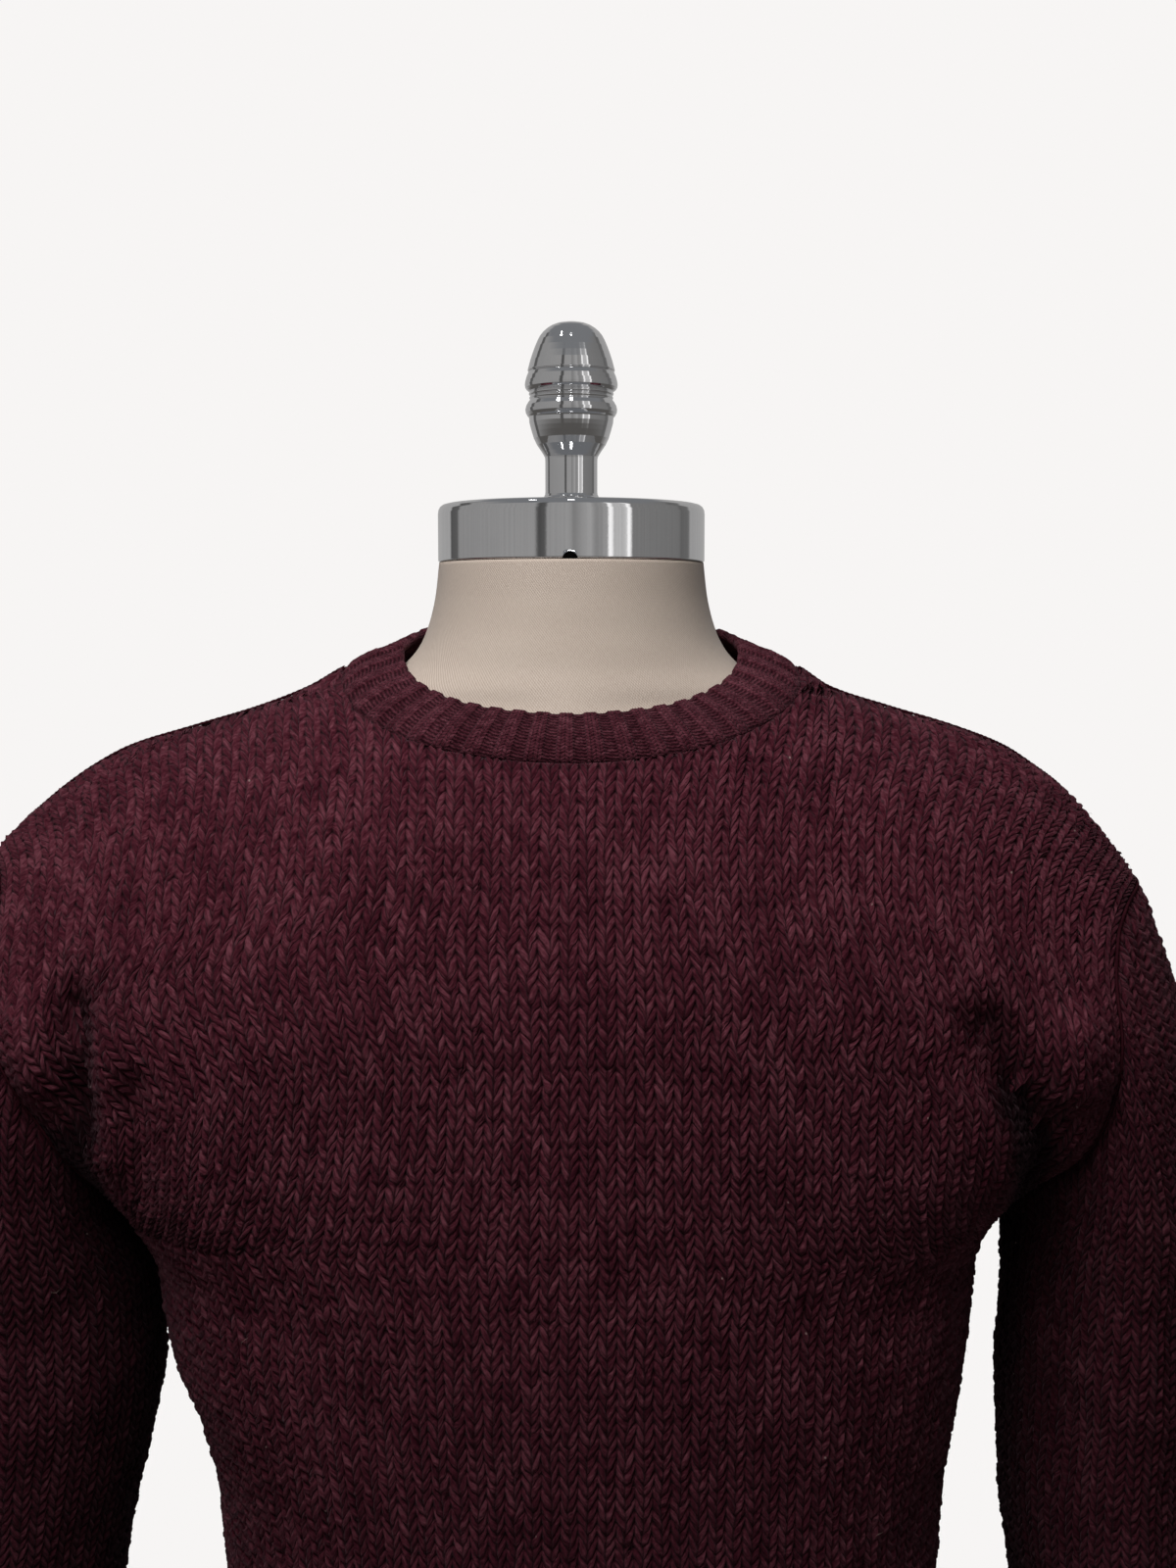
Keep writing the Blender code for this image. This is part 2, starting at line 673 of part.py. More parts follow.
# Sleeves start at the armhole seams and hang straight down.
for name, side in (("sleeve_right", 1), ("sleeve_left", -1)):
    loop = loops[side]
    inward, plane = inwards[side]
    if plane[0] * side < 0:
        plane = -plane
    start = loop + 2.4 * SEAM_GAP * plane
    outer = sleeve_rows(
        start, side, plane, (0, 0.1, 0.22, 0.36, 0.52, 0.7, 0.86, 1),
        (1105, 1066, 1028, 1000, 955, 910, SLEEVE_FOOT),
    )
    direction = normals(outer, True)
    centre = outer.mean(1, keepdims=True)
    flip = np.sign((direction * (outer - centre)).sum())
    direction = -direction * flip
    direction[0] = inward
    direction[1] = 0.5 * direction[1] + 0.5 * inward
    direction[-1, :, 2] = 0
    direction /= np.linalg.norm(direction, axis=2, keepdims=True)
    inner = outer + WALL * direction
    both = np.concatenate([outer.reshape(-1, 3), inner.reshape(-1, 3)])
    make_object(name, both, sheet_faces(outer.shape[0], outer.shape[1], True), knit)

# Cuffs are ribbed tubes, drawn in under the sleeve's foot.
for name, side in (("cuff_right", 1), ("cuff_left", -1)):
    count = CUFF_RIBS * 3
    foot_ring = sleeve_ring(SLEEVE_FOOT, side, count)
    middle = foot_ring.mean(0)
    ribs = wave(count, 3, RIB_RELIEF)[:, None]
    outer, inner = [], []
    for height, size in ((CUFF_FOOT, 0.83), (840, 0.85), (SLEEVE_FOOT - SEAM_GAP, 0.97)):
        ring = middle + (foot_ring - middle) * np.array([size, size, 1])
        ring[:, 2] = height
        out = level_outward(ring)
        outer.append(ring + out * (ribs - RIB_RELIEF))
        inner.append(ring - out * (WALL + 0.4))
    band_object(name, np.array(outer), np.array(inner), rib)

# The hem band is a ribbed tube under front and back.
count = HEM_RIBS * 3
ribs = wave(count, 3, RIB_RELIEF)[:, None]
outer, inner = [], []
for height, size in ((HEM_FOOT, 0.965), (788, 0.955), (BODY_FOOT - SEAM_GAP, 0.99)):
    ring = body_ring(BODY_FOOT, count) * np.array([size, size, 1])
    ring[:, 2] = height
    out = level_outward(ring)
    outer.append(ring + out * (ribs - RIB_RELIEF))
    inner.append(ring - out * (WALL + 0.4))
band_object("hem_band", np.array(outer), np.array(inner), rib)

# The neckband stands up out of the neckline: a folded rib with its own round top edge.
count = NECK_RIBS * 3
closed_foot = np.concatenate([neck_foot, neck_foot[:1]])
run = lengths(closed_foot)
even = np.linspace(0, run[-1], count + 1)[:-1]


def round_neck(corners):
    """A line with a value at each corner of the neckline, read at every point of the band."""
    ends = np.concatenate([corners, corners[:1]])
    return np.stack([np.interp(even, run, ends[:, k]) for k in range(3)], 1)


foot, top, outwards = round_neck(neck_foot), round_neck(neck_top), round_neck(neck_out)
outwards /= np.linalg.norm(outwards, axis=1, keepdims=True)
climb = (top - foot) / np.linalg.norm(top - foot, axis=1, keepdims=True)
ribs = wave(count, 3, RIB_RELIEF)[:, None]
outer, inner = [], []
for share, lift, sink in ((0, 0.0, 0.0), (0.45, 1.2, 0.3), (1.0, 0.0, 0.6)):
    line = foot + 3 * SEAM_GAP * climb + (top - foot) * share
    outer.append(line + outwards * (lift + ribs - RIB_RELIEF))
    inner.append(line - outwards * (RIB_WALL - sink))
crown = (outer[-1] + inner[-1]) / 2 + climb * 1.6
outer.append(crown + outwards * 1.0)
inner.append(crown - outwards * 1.0)
band_object("neckband", np.array(outer), np.array(inner), rib)

# Dress form: level sections from the hips to the neck, closed at both ends.
count = 32
turn = np.linspace(0, 2 * math.pi, count, endpoint=False)
heights = column(FORM, 0)
rings = []
for level, half, front, back, square in FORM:
    cos, sin = np.cos(turn), np.sin(turn)
    ring_x = half * np.sign(cos) * np.abs(cos) ** (2 / square)
    ring_y = np.where(sin < 0, front, back) * np.abs(sin) ** (2 / square)
    if SHOULDER_FOOT < level < SHOULDER_HEAD:
        drop = FORM_DROP + NECK_DROP * np.clip((120 - np.abs(ring_x)) / 14, 0, 1)
        under = np.where(
            sin < 0, depth("front", ring_x, level + drop), depth("back", ring_x, level + drop)
        )
        under -= FORM_INSET * np.clip(under / 25, 0, 1)
        edge = np.where(sin < 0, neckline("front", ring_x), neckline("back", ring_x))
        bare = np.clip((THROAT_SIDE - np.abs(ring_x)) / (THROAT_SIDE - THROAT_MIDDLE), 0, 1)
        bare = np.where(level + CLOTH_START < edge, 0, bare)
        tucked = np.minimum(ring_y, np.maximum(under, 1.5))
        ring_y = tucked + (ring_y - tucked) * bare
    ring_y *= np.sign(sin)
    rings.append(np.stack([ring_x, ring_y, np.full(count, level)], 1))
rings = np.array(rings)
faces = [list(range(count))[::-1], [(len(rings) - 1) * count + j for j in range(count)]]
for i in range(len(rings) - 1):
    for j in range(count):
        k = (j + 1) % count
        faces.append([i * count + j, i * count + k, (i + 1) * count + k, (i + 1) * count + j])
make_object("form_torso", rings, faces, canvas, 60)

# Polished fittings, turned on the stand's axis.
cap_top = NECK_TOP + CAP_HEIGHT
neck_cap = turned(
    "neck_cap",
    [
        (0, cap_top),
        (CAP_RADIUS - 3.6, cap_top),
        (CAP_RADIUS - 1.4, cap_top - 0.7),
        (CAP_RADIUS - 0.3, cap_top - 2.2),
        (CAP_RADIUS, cap_top - 4.2),
        (CAP_RADIUS, NECK_TOP + 1.2),
        (CAP_RADIUS - 0.6, NECK_TOP),
        (0, NECK_TOP),
    ],
    56,
    chrome,
)
bpy.ops.mesh.primitive_cylinder_add(
    vertices=24, radius=NOTCH_RADIUS * MM, depth=8 * MM, rotation=(math.pi / 2, 0, 0),
    location=(0, -CAP_RADIUS * MM, (NECK_TOP - 0.6) * MM),
)
notch = bpy.context.object
notch.name = "notch_cutter"
for home in list(notch.users_collection):
    home.objects.unlink(notch)
cutters.objects.link(notch)
notch.hide_render = True
notch.display_type = "WIRE"
cut = neck_cap.modifiers.new("Notch", "BOOLEAN")
cut.operation = "DIFFERENCE"
cut.solver = "EXACT"
cut.object = notch

turned("finial", [(r, NECK_TOP + h - 0.5) for r, h in FINIAL], 26, chrome)
pole_top = FORM[0][0] - SEAM_GAP
turned(
    "pole",
    [
        (0, pole_top),
        (26, pole_top),
        (27, pole_top - 1),
        (27, pole_top - 5),
        (19, pole_top - 9),
        (18, pole_top - 34),
        (16.5, pole_top - 36),
        (POLE_RADIUS, pole_top - 36.5),
        (POLE_RADIUS, BASE_TOP + 20),
        (20, BASE_TOP + 14),
        (24, BASE_TOP + 4),
        (26, BASE_TOP + SEAM_GAP),
        (0, BASE_TOP + SEAM_GAP),
    ],
    40,
    chrome,
)
turned(
    "base",
    [
        (0, BASE_TOP),
        (40, BASE_TOP),
        (120, BASE_TOP - 3.5),
        (176, BASE_TOP - 8),
        (186, BASE_TOP - 10.2),
        (BASE_RADIUS - 0.6, 5),
        (BASE_RADIUS, 3),
        (BASE_RADIUS - 1, 0),
        (0, 0),
    ],
    56,
    chrome,
)
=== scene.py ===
# %% [markdown]
# # A chunky knitted pullover on a dress form
#
# The pullover is knitted from thick burgundy wool in plain stitch, with a 2-by-2 ribbed neckband, and
# rests on a canvas dress form with polished fittings. The exact solids come from the frame. Each cell
# below adds what those solids are too plain for: stitches, ribs, fuzz, woven canvas and a studio.

# %% Load the frame
import math

import bpy
import numpy as np
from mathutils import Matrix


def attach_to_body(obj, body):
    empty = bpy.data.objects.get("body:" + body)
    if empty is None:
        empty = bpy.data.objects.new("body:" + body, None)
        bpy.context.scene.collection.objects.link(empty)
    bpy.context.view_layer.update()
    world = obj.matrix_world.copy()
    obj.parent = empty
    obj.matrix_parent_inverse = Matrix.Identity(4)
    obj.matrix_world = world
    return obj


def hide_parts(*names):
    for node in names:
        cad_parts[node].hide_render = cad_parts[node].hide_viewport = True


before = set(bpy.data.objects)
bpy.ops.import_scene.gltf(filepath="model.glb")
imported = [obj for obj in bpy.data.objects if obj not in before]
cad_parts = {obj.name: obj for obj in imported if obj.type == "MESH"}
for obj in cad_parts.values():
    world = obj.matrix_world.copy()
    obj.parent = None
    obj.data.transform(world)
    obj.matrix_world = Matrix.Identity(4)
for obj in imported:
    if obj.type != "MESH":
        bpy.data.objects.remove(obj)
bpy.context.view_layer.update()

# %% [markdown]
# ## The garment's measures
#
# A knitted panel is a wall of cloth whose shape follows a few measured sections. The same tables
# made the solids, so the stitches lie exactly on them. All tables are in millimetres.

# %% Sizes and tables
MM = 0.001
WALL = 4.0
RIB_WALL = 5.0
SEAM_GAP = 0.3
CHEST = 1275.0
UNDERARM = 1185.0
BODY_FOOT = 815.0
HEM_FOOT = 763.0
SLEEVE_FOOT = 868.0
CUFF_FOOT = 812.0
NECK_TOP = 1475.0
NECK_HALF = 103.0
NECKLINE_SIDE = 1428.0
FRONT_NECK_DROP = 36.5
BACK_NECK_DROP = 5.0
BAND_HALF = 78.0
BAND_FRONT = 80.0
BAND_BACK = 71.0
BAND_SIDE = 1439.0
BAND_FRONT_DIP = 29.0
BAND_BACK_RISE = 11.0
BAND_SQUARE = 0.8
BAND_BEND = 0.6
NECK_RIBS = 46
HEM_RIBS = 52
CUFF_RIBS = 20
OUT = {"front": -1, "back": 1}  # which way each panel bulges from the shoulder seams
PANEL_WALES = {"front": 67, "back": 65}  # columns of stitches across each panel
SLEEVE_WALES = 46
COURSE = 5.1  # height of one row of stitches
LEAN = 1.25  # rows that a leg of a V climbs from the middle of its wale to the edge
ACROSS = 4  # mesh columns to a wale
UPWARD = 3  # mesh rows to a row of stitches
LEG_RISE = 2.7  # height of a leg, and how far the deepest dips lie under the cloth's surface
LEG_SINK = 1.7
BAND_COURSE = 1.8  # height of one row of the fine ribbing
CAP_RADIUS = 60.0
CAP_HEIGHT = 25.5
NOTCH_RADIUS = 3.4
POLE_RADIUS = 12.5
BASE_RADIUS = 190.0
BASE_TOP = 17.0

# Outline of the shoulders and the sleeve heads: height, half-width right, half-width left.
RIDGE = [
    (1175, 297, 301), (1225, 292, 298), (1260, 285, 292), (1283, 277, 286), (1302, 268, 280),
    (1320, 262, 275), (1333.5, 255.5, 269), (1345, 247.5, 261), (1356, 239, 252),
    (1365, 231, 242), (1374, 223, 231), (1383, 211, 218), (1392, 197, 201), (1401, 174, 172),
    (1410, 144, 142), (1419, 117, 119), (1428, 103, 103), (1438, 78, 78), (1450, 58, 58),
    (1460, 0, 0),
]
# Cloth sections: height, half-width right, half-width left, depth in front, depth behind.
SECTIONS = [
    (763, 170, 167, 130, 134), (815, 174, 168, 136, 140), (875, 171, 164, 138, 142),
    (955, 167, 159, 136, 138), (1008, 168.5, 159.5, 134, 135), (1028, 170.5, 161.5, 133.5, 134),
    (1066, 174.5, 165.5, 132.5, 131), (1095, 179, 173, 131.5, 129), (1119, 182, 183, 130.5, 127),
    (1143, 184, 188, 129.5, 125), (1162, 186, 191, 128.5, 123.5), (1173, 190, 197, 128.2, 122.5),
    (1185, 199, 207, 128, 122), (1205, 224, 230, 127.5, 120), (1225, 250, 252, 127, 118),
    (1250, 275, 276, 126, 115), (1275, 290, 296, 125, 112), (1475, 290, 296, 125, 112),
]
# Armhole seams from the underarm to the top of the shoulder: height, distance from the middle.
ARMHOLE_RIGHT = [
    (1185, 199), (1195, 206), (1212, 218), (1230, 225.5), (1248, 228.5), (1272, 229),
    (1298, 227), (1316, 230), (1326, 236.5), (1331, 244), (1333.5, 255.5),
]
ARMHOLE_LEFT = [
    (1185, 207), (1195, 210), (1212, 214.5), (1230, 221), (1248, 231), (1272, 240), (1298, 243),
    (1322, 243.5), (1336, 246), (1342, 251), (1345, 261),
]
# Sleeve below the underarm: height, inner and outer edge right, inner and outer edge left, depth
# in front, depth behind.
SLEEVE = [
    (1143, 202.5, 296, 193, 301, 68, 64), (1105, 201.5, 297, 192, 303, 66, 62),
    (1066, 202, 296, 199, 304, 63, 60), (1028, 204.5, 295, 209, 303, 60, 57),
    (1000, 209, 294, 214, 302, 58, 56), (955, 214, 292, 219, 300, 54, 53),
    (910, 219, 290, 223, 298, 50, 50), (868, 224, 288, 227, 296, 46, 47),
]
# Large folds pressed into front or back: start across, start height, end across, end height,
# half-width, rise out of the cloth (a valley is negative).
FOLDS = {
    "front": [
        (162, 1296, 196, 1236, 12, -13), (198, 1252, 199, 1196, 11, -16),
        (203, 1292, 216, 1246, 13, 8), (178, 1268, 182, 1200, 11, 4),
        (196, 1214, 192, 1150, 12, -9), (148, 1258, 154, 1090, 16, 3),
        (-182, 1272, -180, 1196, 11, -7), (-203, 1306, -202, 1226, 8, -14),
        (-226, 1298, -223, 1246, 10, 8), (-188, 1280, -188, 1206, 7, 4),
        (-212, 1224, -200, 1150, 12, -9), (-148, 1250, -138, 1050, 18, 3),
        (96, 1120, 110, 880, 30, 4), (-70, 1060, -84, 860, 28, 4), (14, 1010, 20, 830, 24, -3),
    ],
    "back": [
        (172, 1290, 200, 1210, 14, -8), (-176, 1290, -206, 1210, 14, -8),
        (120, 1180, 112, 900, 26, 4), (-110, 1150, -120, 880, 28, 4), (10, 1120, 4, 860, 30, -4),
    ],
}
# Creases painted dark, as little light gets in: from x, z to x, z, half-width, how dark.
CREASES = {
    "front": [
        (170, 1284, 181, 1254, 8, 0.6), (181, 1254, 194, 1226, 11, 1.0),
        (196, 1226, 201, 1190, 12, 1.0), (-202, 1290, -201, 1236, 7, 0.85),
        (-190, 1300, -176, 1262, 8, 0.2),
    ],
    "back": [
        (172, 1290, 200, 1210, 11, 0.6), (-172, 1290, -200, 1210, 11, 0.6),
    ],
}
# Dress form: height, half-width, depth in front, depth behind, squareness of the section.
FORM = [
    (695, 134, 95, 99, 2.2), (699, 143, 101, 105, 2.2), (710, 148, 105, 109, 2.2),
    (800, 150, 108, 112, 2.2), (880, 148, 105, 108, 2.2), (960, 140, 99, 97, 2.2),
    (1050, 134, 97, 89, 2.2), (1120, 148, 106, 96, 2.2), (1185, 160, 114, 103, 2.2),
    (1240, 170, 116, 104, 2.15), (1275, 180, 114, 102, 2.1), (1310, 194, 109, 98, 2.0),
    (1340, 204, 101, 92, 1.95), (1365, 206, 92, 86, 1.8), (1377.5, 201, 87, 82, 1.65),
    (1386.4, 191, 83, 78, 1.55), (1395.6, 171, 79, 75, 1.5), (1404.6, 141, 75.5, 72, 1.55),
    (1413, 113, 72, 69, 1.6), (1421, 90, 69, 66, 1.85), (1429, 76, 66, 64, 1.95),
    (1438.5, 68, 63.8, 62.6, 2), (1446, 64.8, 62.3, 61.6, 2), (1452, 63, 61.5, 61.1, 2),
    (1460, 61.3, 60.6, 60.4, 2), (1474.7, 59.6, 59.6, 59.6, 2),
]
# Finial: radius, height over the neck's top.
FINIAL = [
    (0, 106.5), (3.5, 106.35), (6.8, 105.7), (9, 104.8), (10.9, 103.6), (12.6, 102.1),
    (13.9, 100.5), (15, 98.5), (16.3, 95.5), (17.4, 92.5), (18.4, 89.5), (19.2, 86.5),
    (19.5, 85.4), (19.45, 85.0), (18.9, 84.6), (19.3, 84.2), (20.0, 82.5), (20.6, 80.4),
    (20.8, 78.9), (20.6, 77.6), (20.0, 76.7), (19.2, 76.1), (18.6, 75.8), (18.5, 75.5),
    (18.9, 75.2), (19.0, 74.8), (18.8, 74.4), (18.4, 74.1), (18.3, 73.8), (18.7, 73.4),
    (18.8, 73.0), (18.6, 72.6), (18.5, 72.2), (19.3, 71.2), (20.2, 69.6), (20.6, 67.9),
    (20.4, 66.5), (19.7, 65.2), (19.1, 64.6), (18.9, 64.0), (18.8, 62.2), (18.3, 60.2),
    (17.7, 58.1), (16.8, 55.2), (15.4, 52.3), (13.4, 49.4), (12.4, 47.8), (11.9, 46.9),
    (11.75, 46.0), (11.7, 44.5), (11.7, 31.5), (11.8, 30.4), (12.3, 29.3), (13.4, 28.2),
    (15.4, 27.4), (16.8, 27.0), (17.0, 25.9), (0, 25.9),
]


# %% [markdown]
# ## The shape of the cloth
#
# These functions answer one question: how far does the cloth stand from the plane of the shoulder
# seams at a given distance across and height? The section is a squared ellipse that shrinks towards
# the shoulders, and soft folds are pressed into it. Smooth curves through the tables keep every line
# free of kinks.

# %% Curves through the tables
def column(table, number):
    """One column of a table as an array."""
    return np.array([row[number] for row in table], float)


def unit(vectors):
    """Vectors of length one."""
    return vectors / np.maximum(np.linalg.norm(vectors, axis=-1, keepdims=True), 1e-9)


def bell(value, half):
    """exp(-(value / half) ** 2), which is one at nought and dies away beyond half."""
    return np.exp(-((value / half) ** 2))


def step_up(low, high, value):
    """A smooth step from 0 at low to 1 at high."""
    t = np.clip((value - low) / (high - low), 0, 1)
    return t * t * (3 - 2 * t)


def cubic(t, one, lean_one, two, lean_two, step=1):
    """The cubic from one at t = 0 to two at t = 1 that has these slopes, a step long, there."""
    return (
        (1 + 2 * t) * (1 - t) ** 2 * one
        + t * (1 - t) ** 2 * step * lean_one
        + t * t * (3 - 2 * t) * two
        + t * t * (t - 1) * step * lean_two
    )


def smooth(known, values, at):
    """A curve through (known, values) that never overshoots a value, read at the places given."""
    order = np.argsort(known)
    x, y = np.asarray(known, float)[order], np.asarray(values, float)[order]
    step = np.diff(x)
    slope = np.diff(y) / step
    tangent = np.zeros_like(y)
    same = slope[1:] * slope[:-1] > 0
    weight_one, weight_two = 2 * step[1:] + step[:-1], step[1:] + 2 * step[:-1]
    with np.errstate(divide="ignore", invalid="ignore"):
        mean = (weight_one + weight_two) / (weight_one / slope[:-1] + weight_two / slope[1:])
    tangent[1:-1] = np.where(same, mean, 0.0)
    tangent[0], tangent[-1] = slope[0], slope[-1]
    at = np.clip(np.asarray(at, float), x[0], x[-1])
    i = np.clip(np.searchsorted(x, at) - 1, 0, len(step) - 1)
    return cubic((at - x[i]) / step[i], y[i], tangent[i], y[i + 1], tangent[i + 1], step[i])


def read(table, number, at):
    """A column of a table that starts with heights, read at these heights."""
    return smooth(column(table, 0), column(table, number), at)


def lengths(points):
    """Distance run along a line of points, starting with nought."""
    return np.concatenate([[0], np.cumsum(np.linalg.norm(np.diff(points, axis=0), axis=1))])


def grid_lengths(points, axis):
    """Distance run along one axis of a grid of points, starting with nought."""
    steps = np.linalg.norm(np.diff(points, axis=axis), axis=2)
    return np.cumsum(np.insert(steps, 0, 0, axis), axis)


def evenly(line, count, values=None):
    """Points spaced evenly along a line, without its last one, or other values at those places."""
    run = lengths(line)
    even = np.linspace(0, run[-1], count + 1)[:-1]
    values = line if values is None else values
    return np.stack([np.interp(even, run, values[:, k]) for k in range(3)], 1)


# %% [markdown]
# ## Folds and sections
#
# A large fold is a soft ridge or valley along a straight line. Its rise bends the cloth, and the
# deepest ones also get a painted shade, because almost no light reaches their bottom.

# %% The cloth's distance from the plane of the shoulder seams
BELLY = {"front": (2.25, 1.8, 3), "back": (2.35, 2.2, 4)}  # squareness, bend on top, depth's column
# Painted shade: on the lower body, and on the front beside the left crease.
LOW_SHADE = 0.22  # shade of the lower body, and the heights between which it fades upwards
LOW_FADE = (1090, 1250)
SIDE_SHADE = 0.9  # shade beside the left crease, and where it fades across and upwards
SIDE_FADE, SIDE_TOP = (-204, -195), (1232, 1250)


def line_places(line, across, height):
    """Share of the way along a line, distance from it, and its length."""
    x0, z0, x1, z1 = line
    run = np.array([x1 - x0, z1 - z0], float)
    length = np.hypot(*run)
    along = ((across - x0) * run[0] + (height - z0) * run[1]) / length**2
    aside = ((across - x0) * run[1] - (height - z0) * run[0]) / length
    return along, aside, length


def fold_rise(panel, across, height):
    """Sum of the panel's large folds: rise * bell(distance from the line), faded at its ends."""
    total = np.zeros(np.broadcast(across, height).shape)
    for *line, half, rise in FOLDS[panel]:
        along, aside, _ = line_places(line, across, height)
        ends = np.clip(1.25 * (1 - np.abs(2 * along - 1)) + 0.25, 0, 1)
        total += rise * bell(aside, half) * ends * ends * (3 - 2 * ends)
    return total


def fold_shade(panel, across, height):
    """Painted shade of a point, from 0 to 1: in the deep creases, where little light gets in, on the
    lower body, and on the front beside the left crease.
    """
    total = LOW_SHADE * (1 - step_up(*LOW_FADE, height))
    if panel == "front":
        beside = 1 - step_up(*SIDE_FADE, across)
        total = total + SIDE_SHADE * beside * (1 - step_up(*SIDE_TOP, height))
    for *line, half, deep in CREASES[panel]:
        along, aside, length = line_places(line, across, height)
        beyond = np.maximum(np.abs(along - 0.5) - 0.5, 0) * length
        total = total + deep * np.exp(-((aside**2 + beyond**2) / half**2))
    return np.clip(total, 0, 1)


def ridge_height(across):
    """Height of the shoulder ridge at a distance across, right of the middle being positive."""
    right, left = (smooth(column(RIDGE, k), column(RIDGE, 0), np.abs(across)) for k in (1, 2))
    return np.where(np.asarray(across) >= 0, right, left)


def half_width(across, height):
    """Half-width of the body's section on the side that a point is on."""
    return np.where(np.asarray(across) >= 0, read(SECTIONS, 1, height), read(SECTIONS, 2, height))


def depth(panel, across, height):
    """Distance of the cloth from the plane of the shoulder seams.

    The section is an ellipse of the table's half-width and depth. Above the chest it shrinks
    towards the ridge: depth * (1 - t ** m) ** (1 / m), t being the share of the way up.
    """
    square, bend, number = BELLY[panel]
    share = np.clip(np.abs(across) / half_width(across, height), 0, 1)
    out = read(SECTIONS, number, height) * (1 - share**square) ** (1 / square)
    top = np.maximum(ridge_height(across) - CHEST, 1.0)
    climb = np.clip((height - CHEST) / top, 0, 1)
    out = out * (1 - climb**bend) ** (1 / bend)
    near_edge = np.clip(out / 30, 0, 1)
    return np.maximum(out + fold_rise(panel, across, height) * near_edge, 0)


def edge_line(panel, side):
    """Side seam and armhole seam from the body's foot to the shoulder, as dense points."""
    table, number = (ARMHOLE_RIGHT, 1) if side > 0 else (ARMHOLE_LEFT, 2)
    low = np.linspace(BODY_FOOT, UNDERARM, 80)[:-1]
    share = np.sin(np.linspace(0, math.pi / 2, 240))
    high = UNDERARM + (table[-1][0] - UNDERARM) * share
    across = np.concatenate([read(SECTIONS, number, low), read(table, 1, high)])
    height = np.concatenate([low, high])
    away = np.concatenate([np.zeros(len(low)), depth(panel, side * across[len(low):], high)])
    away[-1] = 0
    return np.stack([across, away, height], 1), len(low)


def neckline(panel, across):
    """Height of the neckline at a distance across, a half ellipse hung from the shoulder seams."""
    drop = FRONT_NECK_DROP if panel == "front" else BACK_NECK_DROP
    share = np.clip(np.abs(across) / NECK_HALF, 0, 1)
    return NECKLINE_SIDE - drop * np.sqrt(1 - share**2)


# %% [markdown]
# ## From a function to a mesh
#
# A knitted piece has tens of thousands of stitches' corners, so the points are worked out as whole
# arrays and handed to the mesh in one go. Each piece carries a map of its stitches: one unit across
# is one column of stitches, and one unit up is one row. The wool's pattern reads that map.

# %% Meshes from arrays
collection = bpy.data.collections.new("knitwear")
bpy.context.scene.collection.children.link(collection)


def outward(points, triangles):
    """The triangles of a closed surface, turned so that it holds a positive volume."""
    a, b, c = (points.reshape(-1, 3)[triangles[:, k]] for k in range(3))
    return triangles if (a * np.cross(b, c)).sum() > 0 else triangles[:, ::-1]


def piece_of(name, points, triangles, material, stitches=None, tone=None):
    """A smooth closed mesh from points in millimetres, a stitch map, and a painted shade, or paleness
    on fibres, a point.

    The triangles are turned outwards, and points that none of them uses go.
    """
    mesh = bpy.data.meshes.new(name)
    points = np.asarray(points, float).reshape(-1, 3)
    used, compact = np.unique(outward(points, triangles), return_inverse=True)
    corners = compact.astype(np.int32).ravel()
    count = len(corners) // 3
    mesh.vertices.add(len(used))
    mesh.vertices.foreach_set("co", (points[used] * MM).astype(np.float32).ravel())
    mesh.loops.add(len(corners))
    mesh.loops.foreach_set("vertex_index", corners)
    mesh.polygons.add(count)
    mesh.polygons.foreach_set("loop_start", np.arange(count, dtype=np.int32) * 3)
    mesh.update(calc_edges=True)
    mesh.shade_smooth()
    if stitches is not None:
        layer = mesh.uv_layers.new(name="stitches")
        places = np.asarray(stitches, float).reshape(-1, 2)[used][corners]
        layer.uv.foreach_set("vector", places.astype(np.float32).ravel())
    # Painted shade a point on the knitting; on the loose fibres, 1 marks the pale ones.
    if tone is not None:
        made = mesh.attributes.new("tone", "FLOAT", "POINT")
        made.data.foreach_set("value", np.clip(tone, 0, 1).ravel()[used].astype(np.float32))
    mesh.materials.append(material)
    piece = bpy.data.objects.new(name, mesh)
    collection.objects.link(piece)
    print(f"{name}: {count} triangles")
    return piece


def grid_triangles(ids, closed):
    """Two triangles for each cell of a grid of point numbers. Cells that shrink to a line go."""
    right = np.roll(ids, -1, 1) if closed else ids[:, 1:]
    left = ids if closed else ids[:, :-1]
    a, b, c, d = left[:-1], right[:-1], right[1:], left[1:]
    found = np.concatenate([np.stack([a, b, c], 2), np.stack([a, c, d], 2)]).reshape(-1, 3)
    return found[(found != np.roll(found, 1, 1)).all(1)]


def at_runs(known, values, places):
    """Each column of a grid of values, read at its own distances along that column."""
    known = np.broadcast_to(known, values.shape[:2])
    span = float(max(known.max(), places.max())) + 1
    offset = 2 * span * np.arange(known.shape[1])
    where = (np.clip(places, known[0], known[-1]) + offset).T.ravel()
    base = (known + offset).T.ravel()
    found = [np.interp(where, base, values[..., k].T.ravel()) for k in range(values.shape[2])]
    shape = (known.shape[1], places.shape[0])
    return np.stack([one.reshape(shape).T for one in found], 2)


def wander(across, up, wide, tall, seed):
    """Smooth random numbers of about -1 to 1: a lattice of them, blended between its corners."""
    lattice = np.random.default_rng(seed).uniform(-1, 1, (257, 257))
    x, y = across / wide + 60.37, up / tall + 60.71
    i, j = np.floor(x).astype(int), np.floor(y).astype(int)
    s, t = x - i, y - j
    s, t = s * s * (3 - 2 * s), t * t * (3 - 2 * t)
    low, high = (lattice[i % 257, k % 257] * (1 - s) + lattice[(i + 1) % 257, k % 257] * s
                 for k in (j, j + 1))
    return low * (1 - t) + high * t


# %% [markdown]
# ## Plain knitting
#
# Plain knitting is a wall of nested V's. Each leg of a V is a short, fat length of yarn that leans
# outwards as it climbs. Between two columns of V's the cloth dips, and so it does, less, in the
# middle of each V. The mesh follows the legs: its rows zigzag with the V's, so a dip or a crest
# always has points on it. The wall is closed by a coarser inner layer, joined along its edges.

